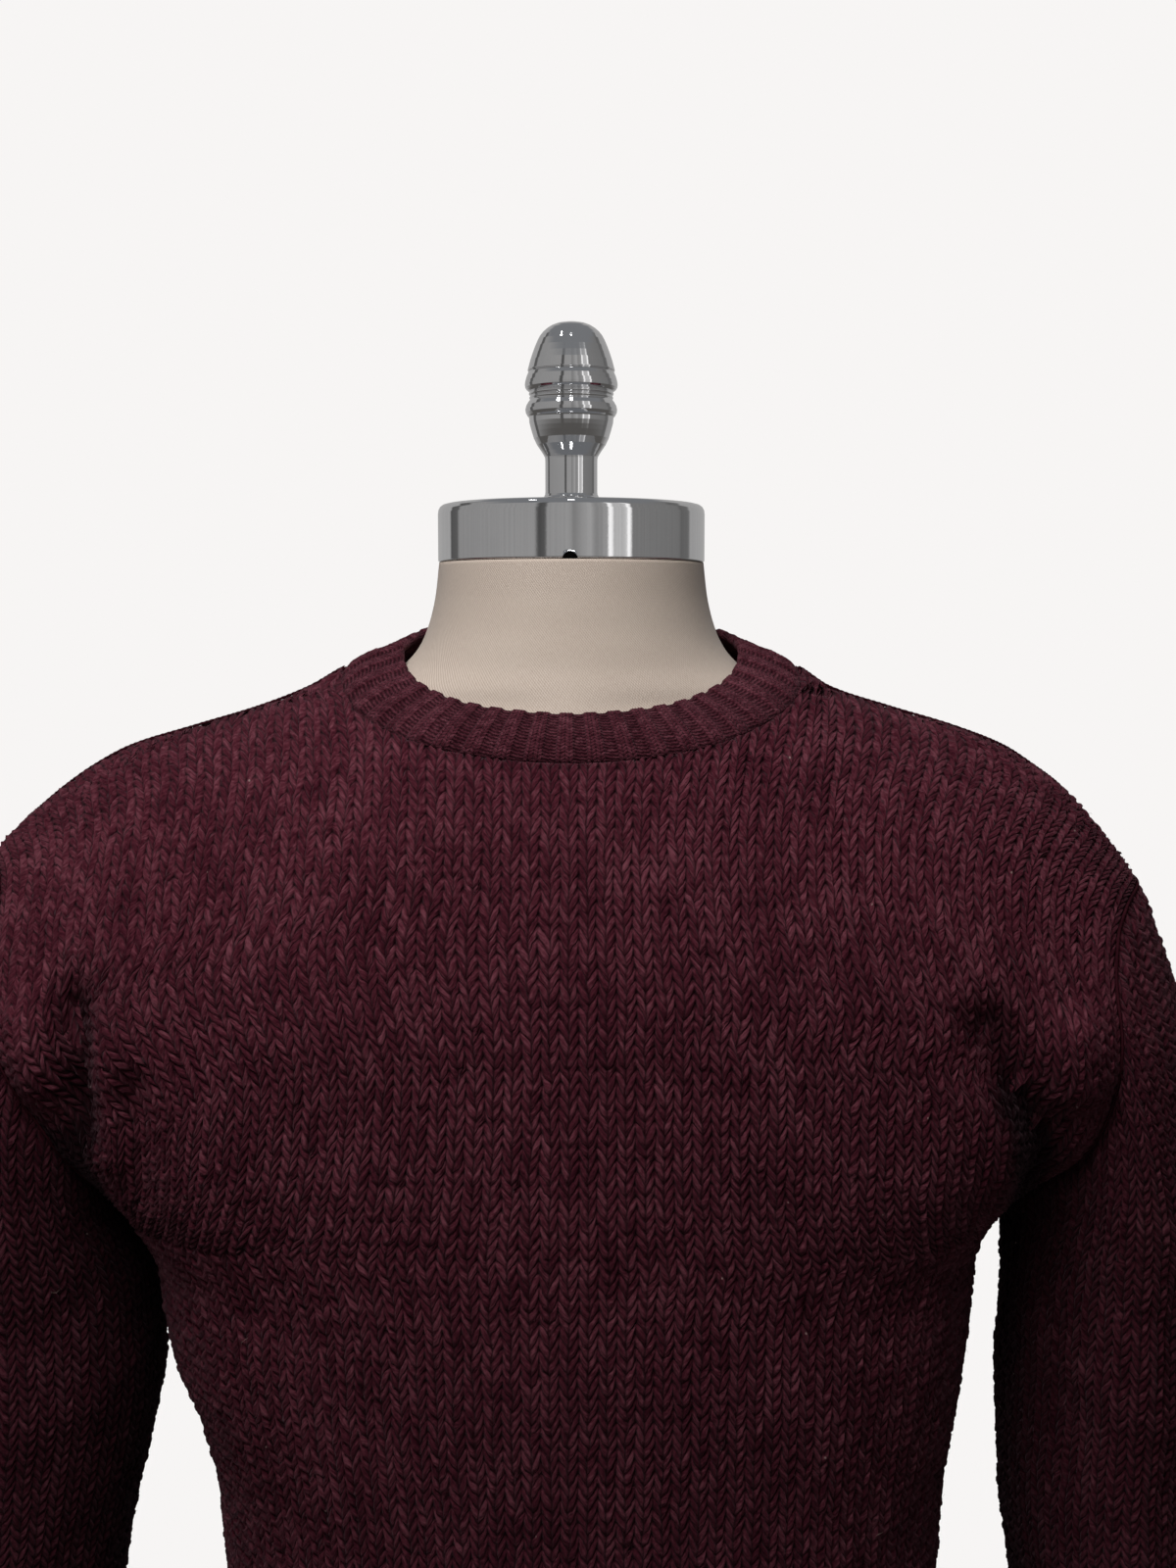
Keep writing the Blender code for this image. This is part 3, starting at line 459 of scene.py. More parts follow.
# %% The relief of plain knitting
def vee(wale):
    """How far a point is from the middle of its V, from 0 there to 1 between two columns."""
    return np.abs((wale + 0.5) % 1 - 0.5) * 2


def knit_relief(wale, course, seed):
    """Height of plain knitting in millimetres over its mean.

    A leg is a sine across its half of the V, and a sine along the yarn. Each leg is a little
    thicker or thinner than its neighbours.
    """
    half = vee(wale)
    turn = course - LEAN * half + 0.25
    leg = np.sin(math.pi * np.clip(0.05 + 0.9 * half, 0, 1)) ** 0.7
    swell = np.sin(math.pi * (turn % 1)) ** 0.8
    each = 1 + 0.38 * wander(np.floor(wale * 2 + 1e-6), np.floor(turn), 1, 1, seed)
    return LEG_RISE * leg * (0.25 + 0.75 * swell) * each - LEG_SINK


def stitch_grid(wale, course):
    """The map of stitches of a grid: its column and its row of stitches at each point."""
    return np.stack([np.broadcast_to(wale, course.shape), course], 2)


def zigzag(base, run, facing, tops, wale):
    """The rows that follow the V's up a cloth, from its foot to its tops.

    Row r stands COURSE * (r / UPWARD + LEAN * (v - 1)) up its column, v being the place in the V.
    Gives the points, their ways outwards, their distances from the foot, the numbers of the grid's
    points, and the first and the last row of each column.
    """
    rows = np.arange(math.ceil((tops.max() / COURSE + LEAN) * UPWARD) + 1)
    place = COURSE * (rows[:, None] / UPWARD + LEAN * (vee(wale) - 1))
    first, last = (place <= 0).sum(0) - 1, np.argmax(place >= tops, axis=0)
    ids = np.clip(rows[:, None], first, last) * len(wale) + np.arange(len(wale))
    place = np.clip(place, 0, tops)
    return at_runs(run, base, place), unit(at_runs(run, facing, place)), place, ids, first, last


# %% One half of a panel as a dense grid
def half_cloth(panel, side, shares):
    """Points of half a panel before it is knitted, their distances from the hem, and its top.

    A row lies where the cloth has run the same length up from the hem in the middle and along the
    edge, and sags with the cube of the distance across between them.
    """
    edge, _ = edge_line(panel, side)
    edge_run = lengths(edge)
    middle_height = np.linspace(BODY_FOOT, RIDGE[-1][0] - 1, 500)
    flat = 0 * middle_height
    middle_run = lengths(np.stack([flat, depth(panel, flat, middle_height), middle_height], 1))
    runs = np.linspace(0, middle_run[-1], 520)
    beyond = np.maximum(runs - edge_run[-1], 0)
    edge_across, edge_away, edge_height = (np.interp(runs, edge_run, one) for one in edge.T)
    edge_height = edge_height + 0.35 * beyond
    centre_height = np.interp(runs, middle_run, middle_height)[:, None]
    spread = np.sin(np.linspace(0, math.pi / 2, 160))
    across = edge_across[:, None] * spread
    height = centre_height + (edge_height[:, None] - centre_height) * spread**3
    away = depth(panel, side * across, height)
    away[beyond == 0, -1] = edge_away[beyond == 0]
    lines = np.stack([across, away, height], 2)
    run_across = grid_lengths(lines, 1)
    grid = at_runs(
        (run_across / run_across[:, -1:]).T, lines.transpose(1, 0, 2),
        np.repeat(shares[:, None], len(runs), 1),
    ).transpose(1, 0, 2)
    x, z = grid[..., 0], grid[..., 2]
    over = z - np.where(x < NECK_HALF, neckline(panel, x), ridge_height(side * x))
    last = np.argmax((over >= 0) & (z > CHEST), axis=0)
    columns = np.arange(len(shares))
    below, above = over[last - 1, columns], over[last, columns]
    tops = runs[last - 1] + (runs[last] - runs[last - 1]) * below / (below - above)
    tops[shares >= 1] = edge_run[-1]
    return grid, runs, tops, run_across[:, -1]


def whole_cloth(panel, shares):
    """A whole panel before it is knitted: points, distances from the hem, tops and row lengths."""
    right, runs, top_right, wide_right = half_cloth(panel, 1, shares)
    left, _, top_left, wide_left = half_cloth(panel, -1, shares)
    left[..., 0] *= -1
    points = np.concatenate([left[:, :0:-1], right], 1)
    points[..., 1] *= OUT[panel]
    tops = np.concatenate([top_left[:0:-1], top_right])
    return points, runs, tops, np.stack([wide_left, wide_right], 1)


def cloth_facing(points, out):
    """The ways outwards of a panel's grid of points."""
    facing = unit(np.cross(np.gradient(points, axis=1), np.gradient(points, axis=0)))
    return facing * np.sign((facing[..., 1] * out).mean())


# %% [markdown]
# ## The panels
#
# Front and back are the same piece with different tables. Towards its edges the knitting lies flat,
# as it does where a seam holds it, and it sinks a little into the seam. Small random shifts of each
# leg and each row keep the stitches from looking stamped.

# %% The two layers of a panel and the rims between them
def panel_lining(panel, half, runs, first_id):
    """The inner layer of a panel: fewer columns and rows of the same cloth, moved in by the wall.

    Gives its points, point numbers and map, and its places across (-1 to 1) and up (0 to 1).
    """
    out = OUT[panel]
    shares = np.unique(np.round(np.linspace(0, 1, 15) ** 0.9 * half).astype(int)) / half
    base, _, tops, _ = whole_cloth(panel, shares)
    levels = np.linspace(0, 1, 30)[:, None] ** 0.92
    place = levels * tops
    way = at_runs(runs[:, None], cloth_facing(base, out), place)
    way[0, :, 2] = 0
    way[:, [0, -1], 1] *= 0.15
    way[-1, :, 1] *= 0.2
    inner = at_runs(runs[:, None], base, place) - WALL * unit(way)
    inner[..., 1] = out * np.maximum(inner[..., 1] * out, SEAM_GAP / 2)
    signed = np.concatenate([-shares[:0:-1], shares])
    ids = first_id + np.arange(inner[..., 0].size).reshape(inner.shape[:2])
    return inner, ids, stitch_grid(signed * half / ACROSS, place / COURSE), signed, levels[:, 0]


def zip_loops(dense, dense_at, coarse, coarse_at):
    """Triangles between two closed loops of points, each with its place round the loop."""
    middles = (coarse_at + np.roll(coarse_at, -1)) / 2
    middles[-1] = (coarse_at[-1] + 4.0) / 2
    near = np.searchsorted(middles, dense_at) % len(coarse)
    after, near_after = np.roll(dense, -1), np.roll(near, -1)
    first = np.stack([dense, coarse[near], after], 1)
    moved = near != near_after
    second = np.stack([after[moved], coarse[near[moved]], coarse[near_after[moved]]], 1)
    return np.concatenate([first, second])


def panel_rim(place, tops, first, last, ids, signed, levels):
    """Triangles between the layers: along the foot, up the right, back along the top, and down."""
    count = len(tops)
    end = count - 1
    signs = (np.arange(count) - end // 2) / (end // 2)
    right = np.arange(first[end] + 1, last[end] + 1)
    left = np.arange(first[0] + 1, last[0])[::-1]
    over = np.arange(end - 1, -1, -1)
    dense = np.concatenate([
        first * count + np.arange(count), right * count + end, last[over] * count + over,
        left * count,
    ])
    dense_at = np.concatenate([
        (1 + signs) / 2, 1 + place[right, end] / tops[end], 2 + (1 - signs[over]) / 2,
        4 - place[left, 0] / tops[0],
    ])
    coarse = np.concatenate([ids[0], ids[1:, -1], ids[-1, -2::-1], ids[-2:0:-1, 0]])
    coarse_at = np.concatenate([
        (1 + signed) / 2, 1 + levels[1:], 2 + (1 - signed[-2::-1]) / 2, 4 - levels[-2:0:-1],
    ])
    return zip_loops(dense, dense_at, coarse, coarse_at)


# %% A knitted panel
def panel_piece(panel, name, material, seed):
    """A knitted panel: a dense outer layer with its stitches, a coarse inner one, and edges."""
    half = PANEL_WALES[panel] * ACROSS // 2
    count = np.arange(-half, half + 1)
    wale = count / ACROSS
    base, runs, tops, wide = whole_cloth(panel, np.arange(0, half + 1) / half)
    out = OUT[panel]
    points, normal, place, ids, first, last = zigzag(
        base, runs[:, None], cloth_facing(base, out), tops, wale)
    course = place / COURSE
    length = np.where(count < 0, *(np.interp(place, runs, wide[:, k]) for k in (0, 1)))
    inside = (1 - np.abs(count) / half) * length
    below_top = tops - place
    free = step_up(0, 16, inside) * step_up(0, 14, below_top) * step_up(0, 10, place)
    x, z = points[..., 0], points[..., 2]
    wobble = 1.5 * wander(x, z, 62, 95, seed) + 0.9 * wander(x, z, 27, 40, seed + 1)
    sink = -0.3 * bell(inside, 2.6) + 0.5 * bell(inside - 9, 5)
    neck = np.abs(x) < NECK_HALF + 2
    sink = sink + np.where(neck, 0.3, -0.2) * bell(below_top, 3.0)
    rise = knit_relief(wale, course, seed + 2) * (0.55 + 0.45 * free) + wobble * free + sink
    tangent = unit(np.gradient(points, axis=1))
    drift = 0.75 * wander(np.floor(wale * 2), course, 1, 1.3, seed + 3) * free
    lift = 0.8 * wander(wale, np.floor(course), 1.1, 1, seed + 4) * free
    upwards = unit(np.cross(normal, tangent))
    upwards *= np.sign(upwards[..., 2:].mean())
    knitted = points + normal * rise[..., None] + tangent * drift[..., None]
    knitted += upwards * lift[..., None]
    knitted[..., 1] = out * np.maximum(knitted[..., 1] * out, SEAM_GAP / 2)

    inner, inner_ids, inner_map, signed, levels = panel_lining(panel, half, runs, ids.size)
    rim = panel_rim(place, tops, first, last, inner_ids, signed, levels)
    triangles = np.concatenate([
        grid_triangles(ids, False), grid_triangles(inner_ids, False)[:, ::-1], rim])
    maps = [stitch_grid(wale, course), inner_map]
    # Painted shade: darker along the side edges and the top edge, where the seams are, and as
    # fold_shade gives.
    shade = 0.25 * bell(inside, 3.0) + 0.25 * bell(below_top, 2.6) + fold_shade(panel, x, z)
    piece = piece_of(
        name, np.concatenate([one.reshape(-1, 3) for one in (knitted, inner)]), triangles,
        material, np.concatenate([one.reshape(-1, 2) for one in maps]),
        np.concatenate([shade.ravel(), np.zeros(inner_ids.size)]))
    return piece, panel_size(base, runs, tops, wide)


def panel_size(base, runs, tops, wide):
    """A panel's width, height and area along the cloth, in metres."""
    real = wide[runs < min(tops[0], tops[-1])]
    cells = np.linalg.norm(np.diff(base, axis=1), axis=2)[:-1] * np.diff(runs)[:, None]
    kept = runs[:-1, None] < (tops[1:] + tops[:-1]) / 2
    sizes = real.sum(1).max() * MM, tops.max() * MM, (cells * kept).sum() / 1e6
    print("cloth: {:.3f} m by {:.3f} m, {:.3f} square metres".format(*sizes))
    return tuple(map(float, sizes))


# %% [markdown]
# ## Sleeves
#
# A sleeve is a tube that leaves the armhole seam square to it, turns down, and hangs. Each of its
# columns of stitches runs from the cuff to the seam, so the rows end there as they do on a sleeve
# that was knitted upwards and sewn in. The side next to the body gets little light, so its shade is
# painted as in the deep creases, and the whole lower sleeve gets a lighter painted shade.

# %% The armhole seam and the rings below it
# Soft ridges that run down each sleeve: lower and upper height, turns there, half-width, rise.
SLEEVE_RIDGES = {
    1: [(1130, 1262, 1.68, 2.15, 9, 3.4), (1080, 1230, 2.15, 2.75, 10, -2.6),
        (900, 1120, 1.5, 1.72, 14, 1.6)],
    -1: [(1120, 1240, 1.5, 1.9, 12, 1.8), (900, 1110, 1.3, 1.6, 15, 1.4)],
}
# Soft folds of each sleeve: turn round the tube, height, slant, half-width, rise.
SLEEVE_FOLDS = {
    1: [(1.2, 1180, 0.5, 11, 1.6), (1.6, 1150, 0.4, 9, -1.6), (2.2, 1120, 0.5, 10, 1.4),
        (1.0, 1010, -0.4, 14, 1.3), (2.0, 960, 0.3, 12, -1.2)],
    -1: [(1.3, 1170, 0.5, 11, 1.5), (1.7, 1140, 0.4, 9, -1.6), (2.3, 1105, 0.5, 10, 1.4),
         (1.1, 1000, -0.4, 14, 1.2), (2.1, 950, 0.3, 12, -1.2)],
}
SLEEVE_REACH = 50  # radius at which the ridges and the folds are measured round the tube


def armhole_line(side, count):
    """The armhole seam as a closed loop: from the shoulder down the front, and up the back."""
    halves = []
    for panel, order in (("front", -1), ("back", 1)):
        line, foot = edge_line(panel, side)
        line = (line[foot:] * np.array([side, OUT[panel], 1]))[::order]
        line[:, 1] = OUT[panel] * np.maximum(np.abs(line[:, 1]), SEAM_GAP / 2)
        halves.append(evenly(line, count // 2))
    return np.concatenate(halves)


def sleeve_ring(heights, side, count):
    """Level rings of the sleeve from the outer edge round by the front, points spaced evenly."""
    heights = np.atleast_1d(np.asarray(heights, float))
    first = 1 if side > 0 else 3
    inner, outer, front, back = (
        read(SLEEVE, k, heights)[:, None] for k in (first, first + 1, 5, 6))
    turn = np.linspace(0, 2 * math.pi, 721)
    x = (outer + inner) / 2 + (outer - inner) / 2 * np.cos(turn)
    y = np.where(np.sin(turn) >= 0, -front, -back) * np.sin(turn) * (1 + 0.05 * np.cos(4 * turn))
    dense = np.stack([side * x, y, np.broadcast_to(heights[:, None], x.shape)], 2)
    halves = []
    for part in (dense[:, :361], dense[:, 360:]):
        run = grid_lengths(part, 1)
        even = np.repeat(np.linspace(0, 1, count // 2 + 1)[:-1, None], len(heights), 1)
        halves.append(at_runs((run / run[:, -1:]).T, part.transpose(1, 0, 2), even))
    return np.concatenate(halves).transpose(1, 0, 2)


def sleeve_cloth(side, count):
    """A sleeve before it is knitted, from the foot up to the armhole seam.

    Above the underarm each column is a cubic that leaves the seam square to it and arrives at the
    first level ring going straight down.
    """
    loop = armhole_line(side, count)
    along = np.roll(loop, -1, 0) - np.roll(loop, 1, 0)
    plane = unit(np.cross(loop - loop.mean(0), along).sum(0))
    plane = plane * np.sign(plane[0] * side)
    loop = loop + 0.2 * plane
    first = sleeve_ring(SLEEVE[0][0], side, count)[0]
    chord = first - loop
    far = np.linalg.norm(chord, axis=1, keepdims=True)
    turn = np.linspace(0, 2 * math.pi, count, endpoint=False)
    bulge = np.stack([0 * turn, -np.sin(turn), 0 * turn], 1)
    leave = chord + 0.25 * far * plane + 0.12 * far * bulge
    t = np.linspace(1, 0, 90)[:, None, None]
    upper = cubic(t, loop, leave, first, far * np.array([0, 0, -1.0]))
    heights = np.linspace(SLEEVE_FOOT, SLEEVE[0][0], 110)[:-1]
    return np.concatenate([sleeve_ring(heights, side, count), upper])


# %% A knitted sleeve
def tube_piece(name, outer, ids, inner, stitches, inner_map, tone, material):
    """A closed tube of cloth from its outer and inner layers, joined at the foot and the top."""
    inner_ids = outer[..., 0].size + np.arange(inner[..., 0].size).reshape(inner.shape[:2])
    foot, top = np.stack([inner_ids[0], ids[0]]), np.stack([ids[-1], inner_ids[-1]])
    faces = np.concatenate([
        grid_triangles(ids, True), grid_triangles(inner_ids, True)[:, ::-1],
        grid_triangles(foot, True), grid_triangles(top, True),
    ])
    return piece_of(
        name, np.concatenate([one.reshape(-1, 3) for one in (outer, inner)]), faces, material,
        np.concatenate([one.reshape(-1, 2) for one in (stitches, inner_map)]),
        np.concatenate([tone.ravel(), np.zeros(inner_ids.size)]))


def from_turn(turned, middle):
    """Angle from a middle, between -pi and pi."""
    return (turned - middle + math.pi) % (2 * math.pi) - math.pi


def sleeve_piece(name, side, material, seed):
    """A knitted sleeve."""
    count = SLEEVE_WALES * ACROSS
    base = sleeve_cloth(side, count)
    run = grid_lengths(base, 0)
    tops = run[-1]
    along = np.roll(base, -1, 1) - np.roll(base, 1, 1)
    facing = unit(np.cross(along, np.gradient(base, axis=0)))
    facing *= np.sign((facing * (base - base.mean(1, keepdims=True))).sum())
    wale = np.arange(count) / ACROSS
    points, normal, place, ids, _, _ = zigzag(base, run, facing, tops, wale)
    course = place / COURSE
    below_top = tops - place
    free = step_up(0, 16, below_top) * step_up(0, 10, place)
    z = points[..., 2]
    turned = 2 * math.pi * np.arange(count) / count
    round_x, round_y = SLEEVE_REACH * np.cos(turned), SLEEVE_REACH * np.sin(turned)
    wobble = 1.5 * wander(round_x + 0.6 * round_y, z + round_y, 48, 70, seed)
    wobble = wobble + 0.8 * wander(round_x - round_y, z, 25, 34, seed + 1)
    sink = -0.25 * bell(below_top, 2.6) + 0.9 * bell(below_top - 9, 5)
    rise = knit_relief(wale, course, seed + 2) * (0.55 + 0.45 * free) + wobble * free + sink
    for fold_turn, fold_height, lean, half, up in SLEEVE_FOLDS[side]:
        away = from_turn(turned, fold_turn)
        line = (z - fold_height) - lean * away * SLEEVE_REACH
        rise = rise + up * bell(line, half) * bell(away, 0.9) * free
    for low, high, turn_low, turn_high, half, up in SLEEVE_RIDGES[side]:
        middle = turn_low + (turn_high - turn_low) * (z - low) / (high - low)
        away = from_turn(turned, middle) * SLEEVE_REACH
        span = step_up(low - 40, low + 20, z) * (1 - step_up(high - 10, high + 25, z))
        rise = rise + up * bell(away, half) * span * free
    tangent = unit(np.roll(points, -1, 1) - np.roll(points, 1, 1))
    drift = 0.7 * wander(np.floor(wale * 2), course, 1, 1.3, seed + 3) * free
    knitted = points + normal * rise[..., None] + tangent * drift[..., None]
    levels = np.linspace(0, 1, 34)[:, None] * tops
    inner_way = unit(at_runs(run, facing, levels))
    inner_way[0, :, 2] = 0
    inner = at_runs(run, base, levels) - WALL * unit(inner_way)
    # Painted shade: along the armhole seam, and on the hanging sleeve below the shoulder, darkest on
    # the side next to the body and a little darker on the outer side.
    hanging = 1 - step_up(1190, 1330, z)
    tone = 0.2 * bell(below_top, 3.0) + hanging * (0.36 + 0.62 * bell(turned - math.pi, 0.9))
    tone = tone + 0.12 * hanging * bell(from_turn(turned, 0), 0.8)
    piece = tube_piece(name, knitted, ids, inner, stitch_grid(wale, course),
                       stitch_grid(wale, levels / COURSE), tone, material)
    around = float(np.linalg.norm(along, axis=2)[60].sum() / 2)
    return piece, (around * MM, float(tops.max()) * MM)


# %% [markdown]
# ## Ribbed bands
#
# The neckband, the hem and the cuffs are knitted two columns plain, two columns purl. The plain
# ones stand up as a rib, and the purl ones sink into a groove. The bands draw in, which is why the
# cloth blouses over them.

# %% The relief of two-by-two ribbing
RIB_SHARE = 0.58  # share of one rib and groove that the two plain columns take
RIB_STEPS = 16  # mesh columns to a rib and its groove
RIB_FIRST = 1 / 6  # place of the first rib's middle


def rib_relief(ribs, course, tall, seed):
    """Height of ribbing in millimetres over its groove.

    Across, a rib is a smooth plateau, with a small dip between its two columns of V's. Along it,
    the V's swell and close once a row.
    """
    away = np.abs((ribs - RIB_FIRST + 0.5) % 1 - 0.5)
    plateau = 1 - step_up(RIB_SHARE / 2 - 0.09, RIB_SHARE / 2 + 0.08, away)
    half = np.abs(away - RIB_SHARE / 4) / (RIB_SHARE / 4)
    dip = 0.2 * np.clip(1 - away / 0.07, 0, 1) ** 1.5
    swell = 0.5 - 0.5 * np.cos(2 * math.pi * ((course - 0.8 * half) % 1))
    each = 1 + 0.25 * wander(np.floor(ribs * 2), np.floor(course), 1, 1, seed)
    purl = 0.35 * (1 - plateau) * (0.5 - 0.5 * np.cos(2 * math.pi * course))
    return tall * plateau * (1 - dip) * each + 0.3 * plateau * swell + purl - 0.3


def rib_grid(count, course):
    """The rib's number and the row of stitches for each point of a band."""
    return np.meshgrid(np.arange(count) / RIB_STEPS, course)


def hanging_band(name, ring, levels, ribs, course_height, material, seed):
    """A ribbed tube that hangs from a level ring: levels hold height and share of the ring."""
    heights, sizes = np.array(levels, float).T
    rows = int((heights[-1] - heights[0]) / course_height * UPWARD) + 1
    z = np.linspace(heights[0], heights[-1], rows)
    middle = ring.mean(0)
    points = middle + (ring - middle) * smooth(heights, sizes, z)[:, None, None]
    points[..., 2] = z[:, None]
    along = np.roll(ring, -1, 0) - np.roll(ring, 1, 0)
    out = unit(np.stack([along[:, 1], -along[:, 0], 0 * along[:, 0]], 1))
    out *= np.sign((out * (ring - middle)).sum())
    number, course = rib_grid(ribs * RIB_STEPS, (z - heights[0]) / course_height)
    foot_turn = bell(z - heights[0], 2.2)[:, None]
    top_sink = bell(heights[-1] - z, 2.4)[:, None]
    relief = rib_relief(number, course, 1.5, seed) - 1.4 - 1.0 * foot_turn - 0.7 * top_sink
    relief = relief + 0.6 * wander(number * 11, course * 4, 60, 40, seed + 5)
    outer = points + out * relief[..., None]
    picks = np.linspace(0, rows - 1, 7).astype(int)
    inner = points[picks] - out * (WALL + 0.4)
    maps = np.stack([number, course], 2)
    ids = np.arange(number.size).reshape(number.shape)
    # Painted shade along the band's top, under the cloth that blouses over it.
    tone = np.broadcast_to(0.3 * top_sink, number.shape)
    return tube_piece(name, outer, ids, inner, maps, maps[picks], tone, material)


def body_ring(height, count):
    """A level ring of the body's cloth with points spaced evenly, from the left side seam."""
    turn = np.linspace(0, 2 * math.pi, 1441)
    x, y = -np.cos(turn), -np.sin(turn)
    square_x, square_y = (np.sign(one) * np.abs(one) ** (2 / 2.3) for one in (x, y))
    deep = np.where(y < 0, read(SECTIONS, 3, height), read(SECTIONS, 4, height))
    ring = np.stack([half_width(x, height) * square_x, deep * square_y,
                     np.full_like(x, float(height))], 1)
    return evenly(ring, count)


# %% [markdown]
# ## The neckband
#
# The neckband is knitted to the neckline and folded double, so its top edge is round and scalloped.
# Its points run up the outer face, over the crown of the fold, and down inside.

# %% The neckband
def neck_lines(count):
    """The neckline, the neckband's top above it and the band's outward ways, spaced evenly."""
    turn = np.linspace(0, math.pi, 1201)
    ahead = -NECK_HALF * np.cos(turn)
    lines = []
    for panel, x in (("front", ahead), ("back", -ahead)):
        z = neckline(panel, x)
        y = OUT[panel] * np.maximum(depth(panel, x, z), SEAM_GAP / 2)
        lines.append(np.stack([x, y, z], 1)[:-1])
    foot = np.concatenate(lines)
    level = np.concatenate([np.sin(turn[:-1]), -np.sin(turn[:-1])])
    low = np.where(level >= 0, BAND_FRONT_DIP, -BAND_BACK_RISE)
    deep = np.where(level >= 0, BAND_FRONT, BAND_BACK)
    reach = np.sign(level) * np.abs(level) ** BAND_SQUARE
    bend = (level**2 + 0.01) ** (BAND_BEND / 2) - 0.01 ** (BAND_BEND / 2)
    bend /= 1.01 ** (BAND_BEND / 2) - 0.01 ** (BAND_BEND / 2)
    top = np.stack([BAND_HALF * foot[:, 0] / NECK_HALF, -deep * reach, BAND_SIDE - low * bend], 1)
    along = np.roll(foot, -8, 0) - np.roll(foot, 8, 0)
    outwards = unit(np.cross(top - foot, along))
    outwards *= np.sign((outwards * (foot - foot.mean(0))).sum())
    closed = [np.concatenate([line, line[:1]]) for line in (foot, top, outwards)]
    foot, top, outwards = (evenly(closed[0], count, line) for line in closed)
    return foot, top, unit(outwards), lengths(closed[0])[-1]


def neckband_piece(name, material, seed):
    """The folded neckband: up its outer face, over a round crown, and down inside."""
    count = NECK_RIBS * RIB_STEPS
    foot, top, outwards, around = neck_lines(count)
    climb = unit(top - foot)
    tall = float(np.linalg.norm(top - foot, axis=1).mean())
    rows = int(tall / BAND_COURSE * UPWARD) + 1
    share = np.linspace(0, 1, rows)[:, None, None]
    up = share[..., 0] * tall
    lift = 1.5 * np.sin(math.pi * np.clip(share * 1.05, 0, 1)) ** 0.9
    line = foot + 2 * SEAM_GAP * climb + (top - foot) * share
    number, course = rib_grid(count, share.ravel() * tall / BAND_COURSE)
    start = bell(up, 1.6)
    relief = rib_relief(number, course, 1.25, seed) * (0.35 + 0.65 * step_up(0, 4.5, up)) - 0.7
    relief = relief - 0.2 * start
    relief = relief + 0.5 * wander(number * 11, course * BAND_COURSE, 38, 24, seed + 5)
    outer = line + outwards * (lift + relief[..., None])
    # The crown turns from the outer face to the inner one about the fold.
    turn = np.linspace(0, math.pi, 9)[1:, None, None]
    face = relief[-1][None, :, None]
    radius = (RIB_WALL - 0.6 + face) / 2
    middle = line[-1] + outwards * (face / 2 - (RIB_WALL - 0.6) / 2)
    height = (1.7 + 0.3 * (face + 0.7)) * np.sin(turn)
    crown = middle + outwards * radius * np.cos(turn) + climb * height
    inside_share = np.linspace(0.96, 0, 9)[:, None, None]
    inside = (foot + 2 * SEAM_GAP * climb + (top - foot) * inside_share
              - outwards * (RIB_WALL - 0.6 * inside_share))
    whole = np.concatenate([outer, crown, inside])
    steps = np.concatenate([
        course[:, 0], course[-1, 0] + turn.ravel() * 2.2 / BAND_COURSE,
        course[-1, 0] + (math.pi * 2.2 + (1 - inside_share.ravel()) * tall) / BAND_COURSE,
    ])
    ids = np.arange(len(whole) * count).reshape(-1, count)
    faces = grid_triangles(np.concatenate([ids, ids[:1]]), True)
    # Painted shade along the band's foot, where it meets the neckline.
    tone = np.zeros(ids.shape)
    tone[:rows] = 0.4 * start
    maps = np.stack(rib_grid(count, steps), 2)
    piece = piece_of(name, whole, faces, material, maps, tone)
    print(f"neckband: {around:.0f} mm round, {tall:.0f} mm tall, doubled")
    return piece, (around * MM, tall * MM)


# %% [markdown]
# ## Shader maths as expressions
#
# A procedural material is a small calculation. Written as expressions it stays readable: the class
# below wraps one output of a node, and +, -, * or / on it adds a Math node.

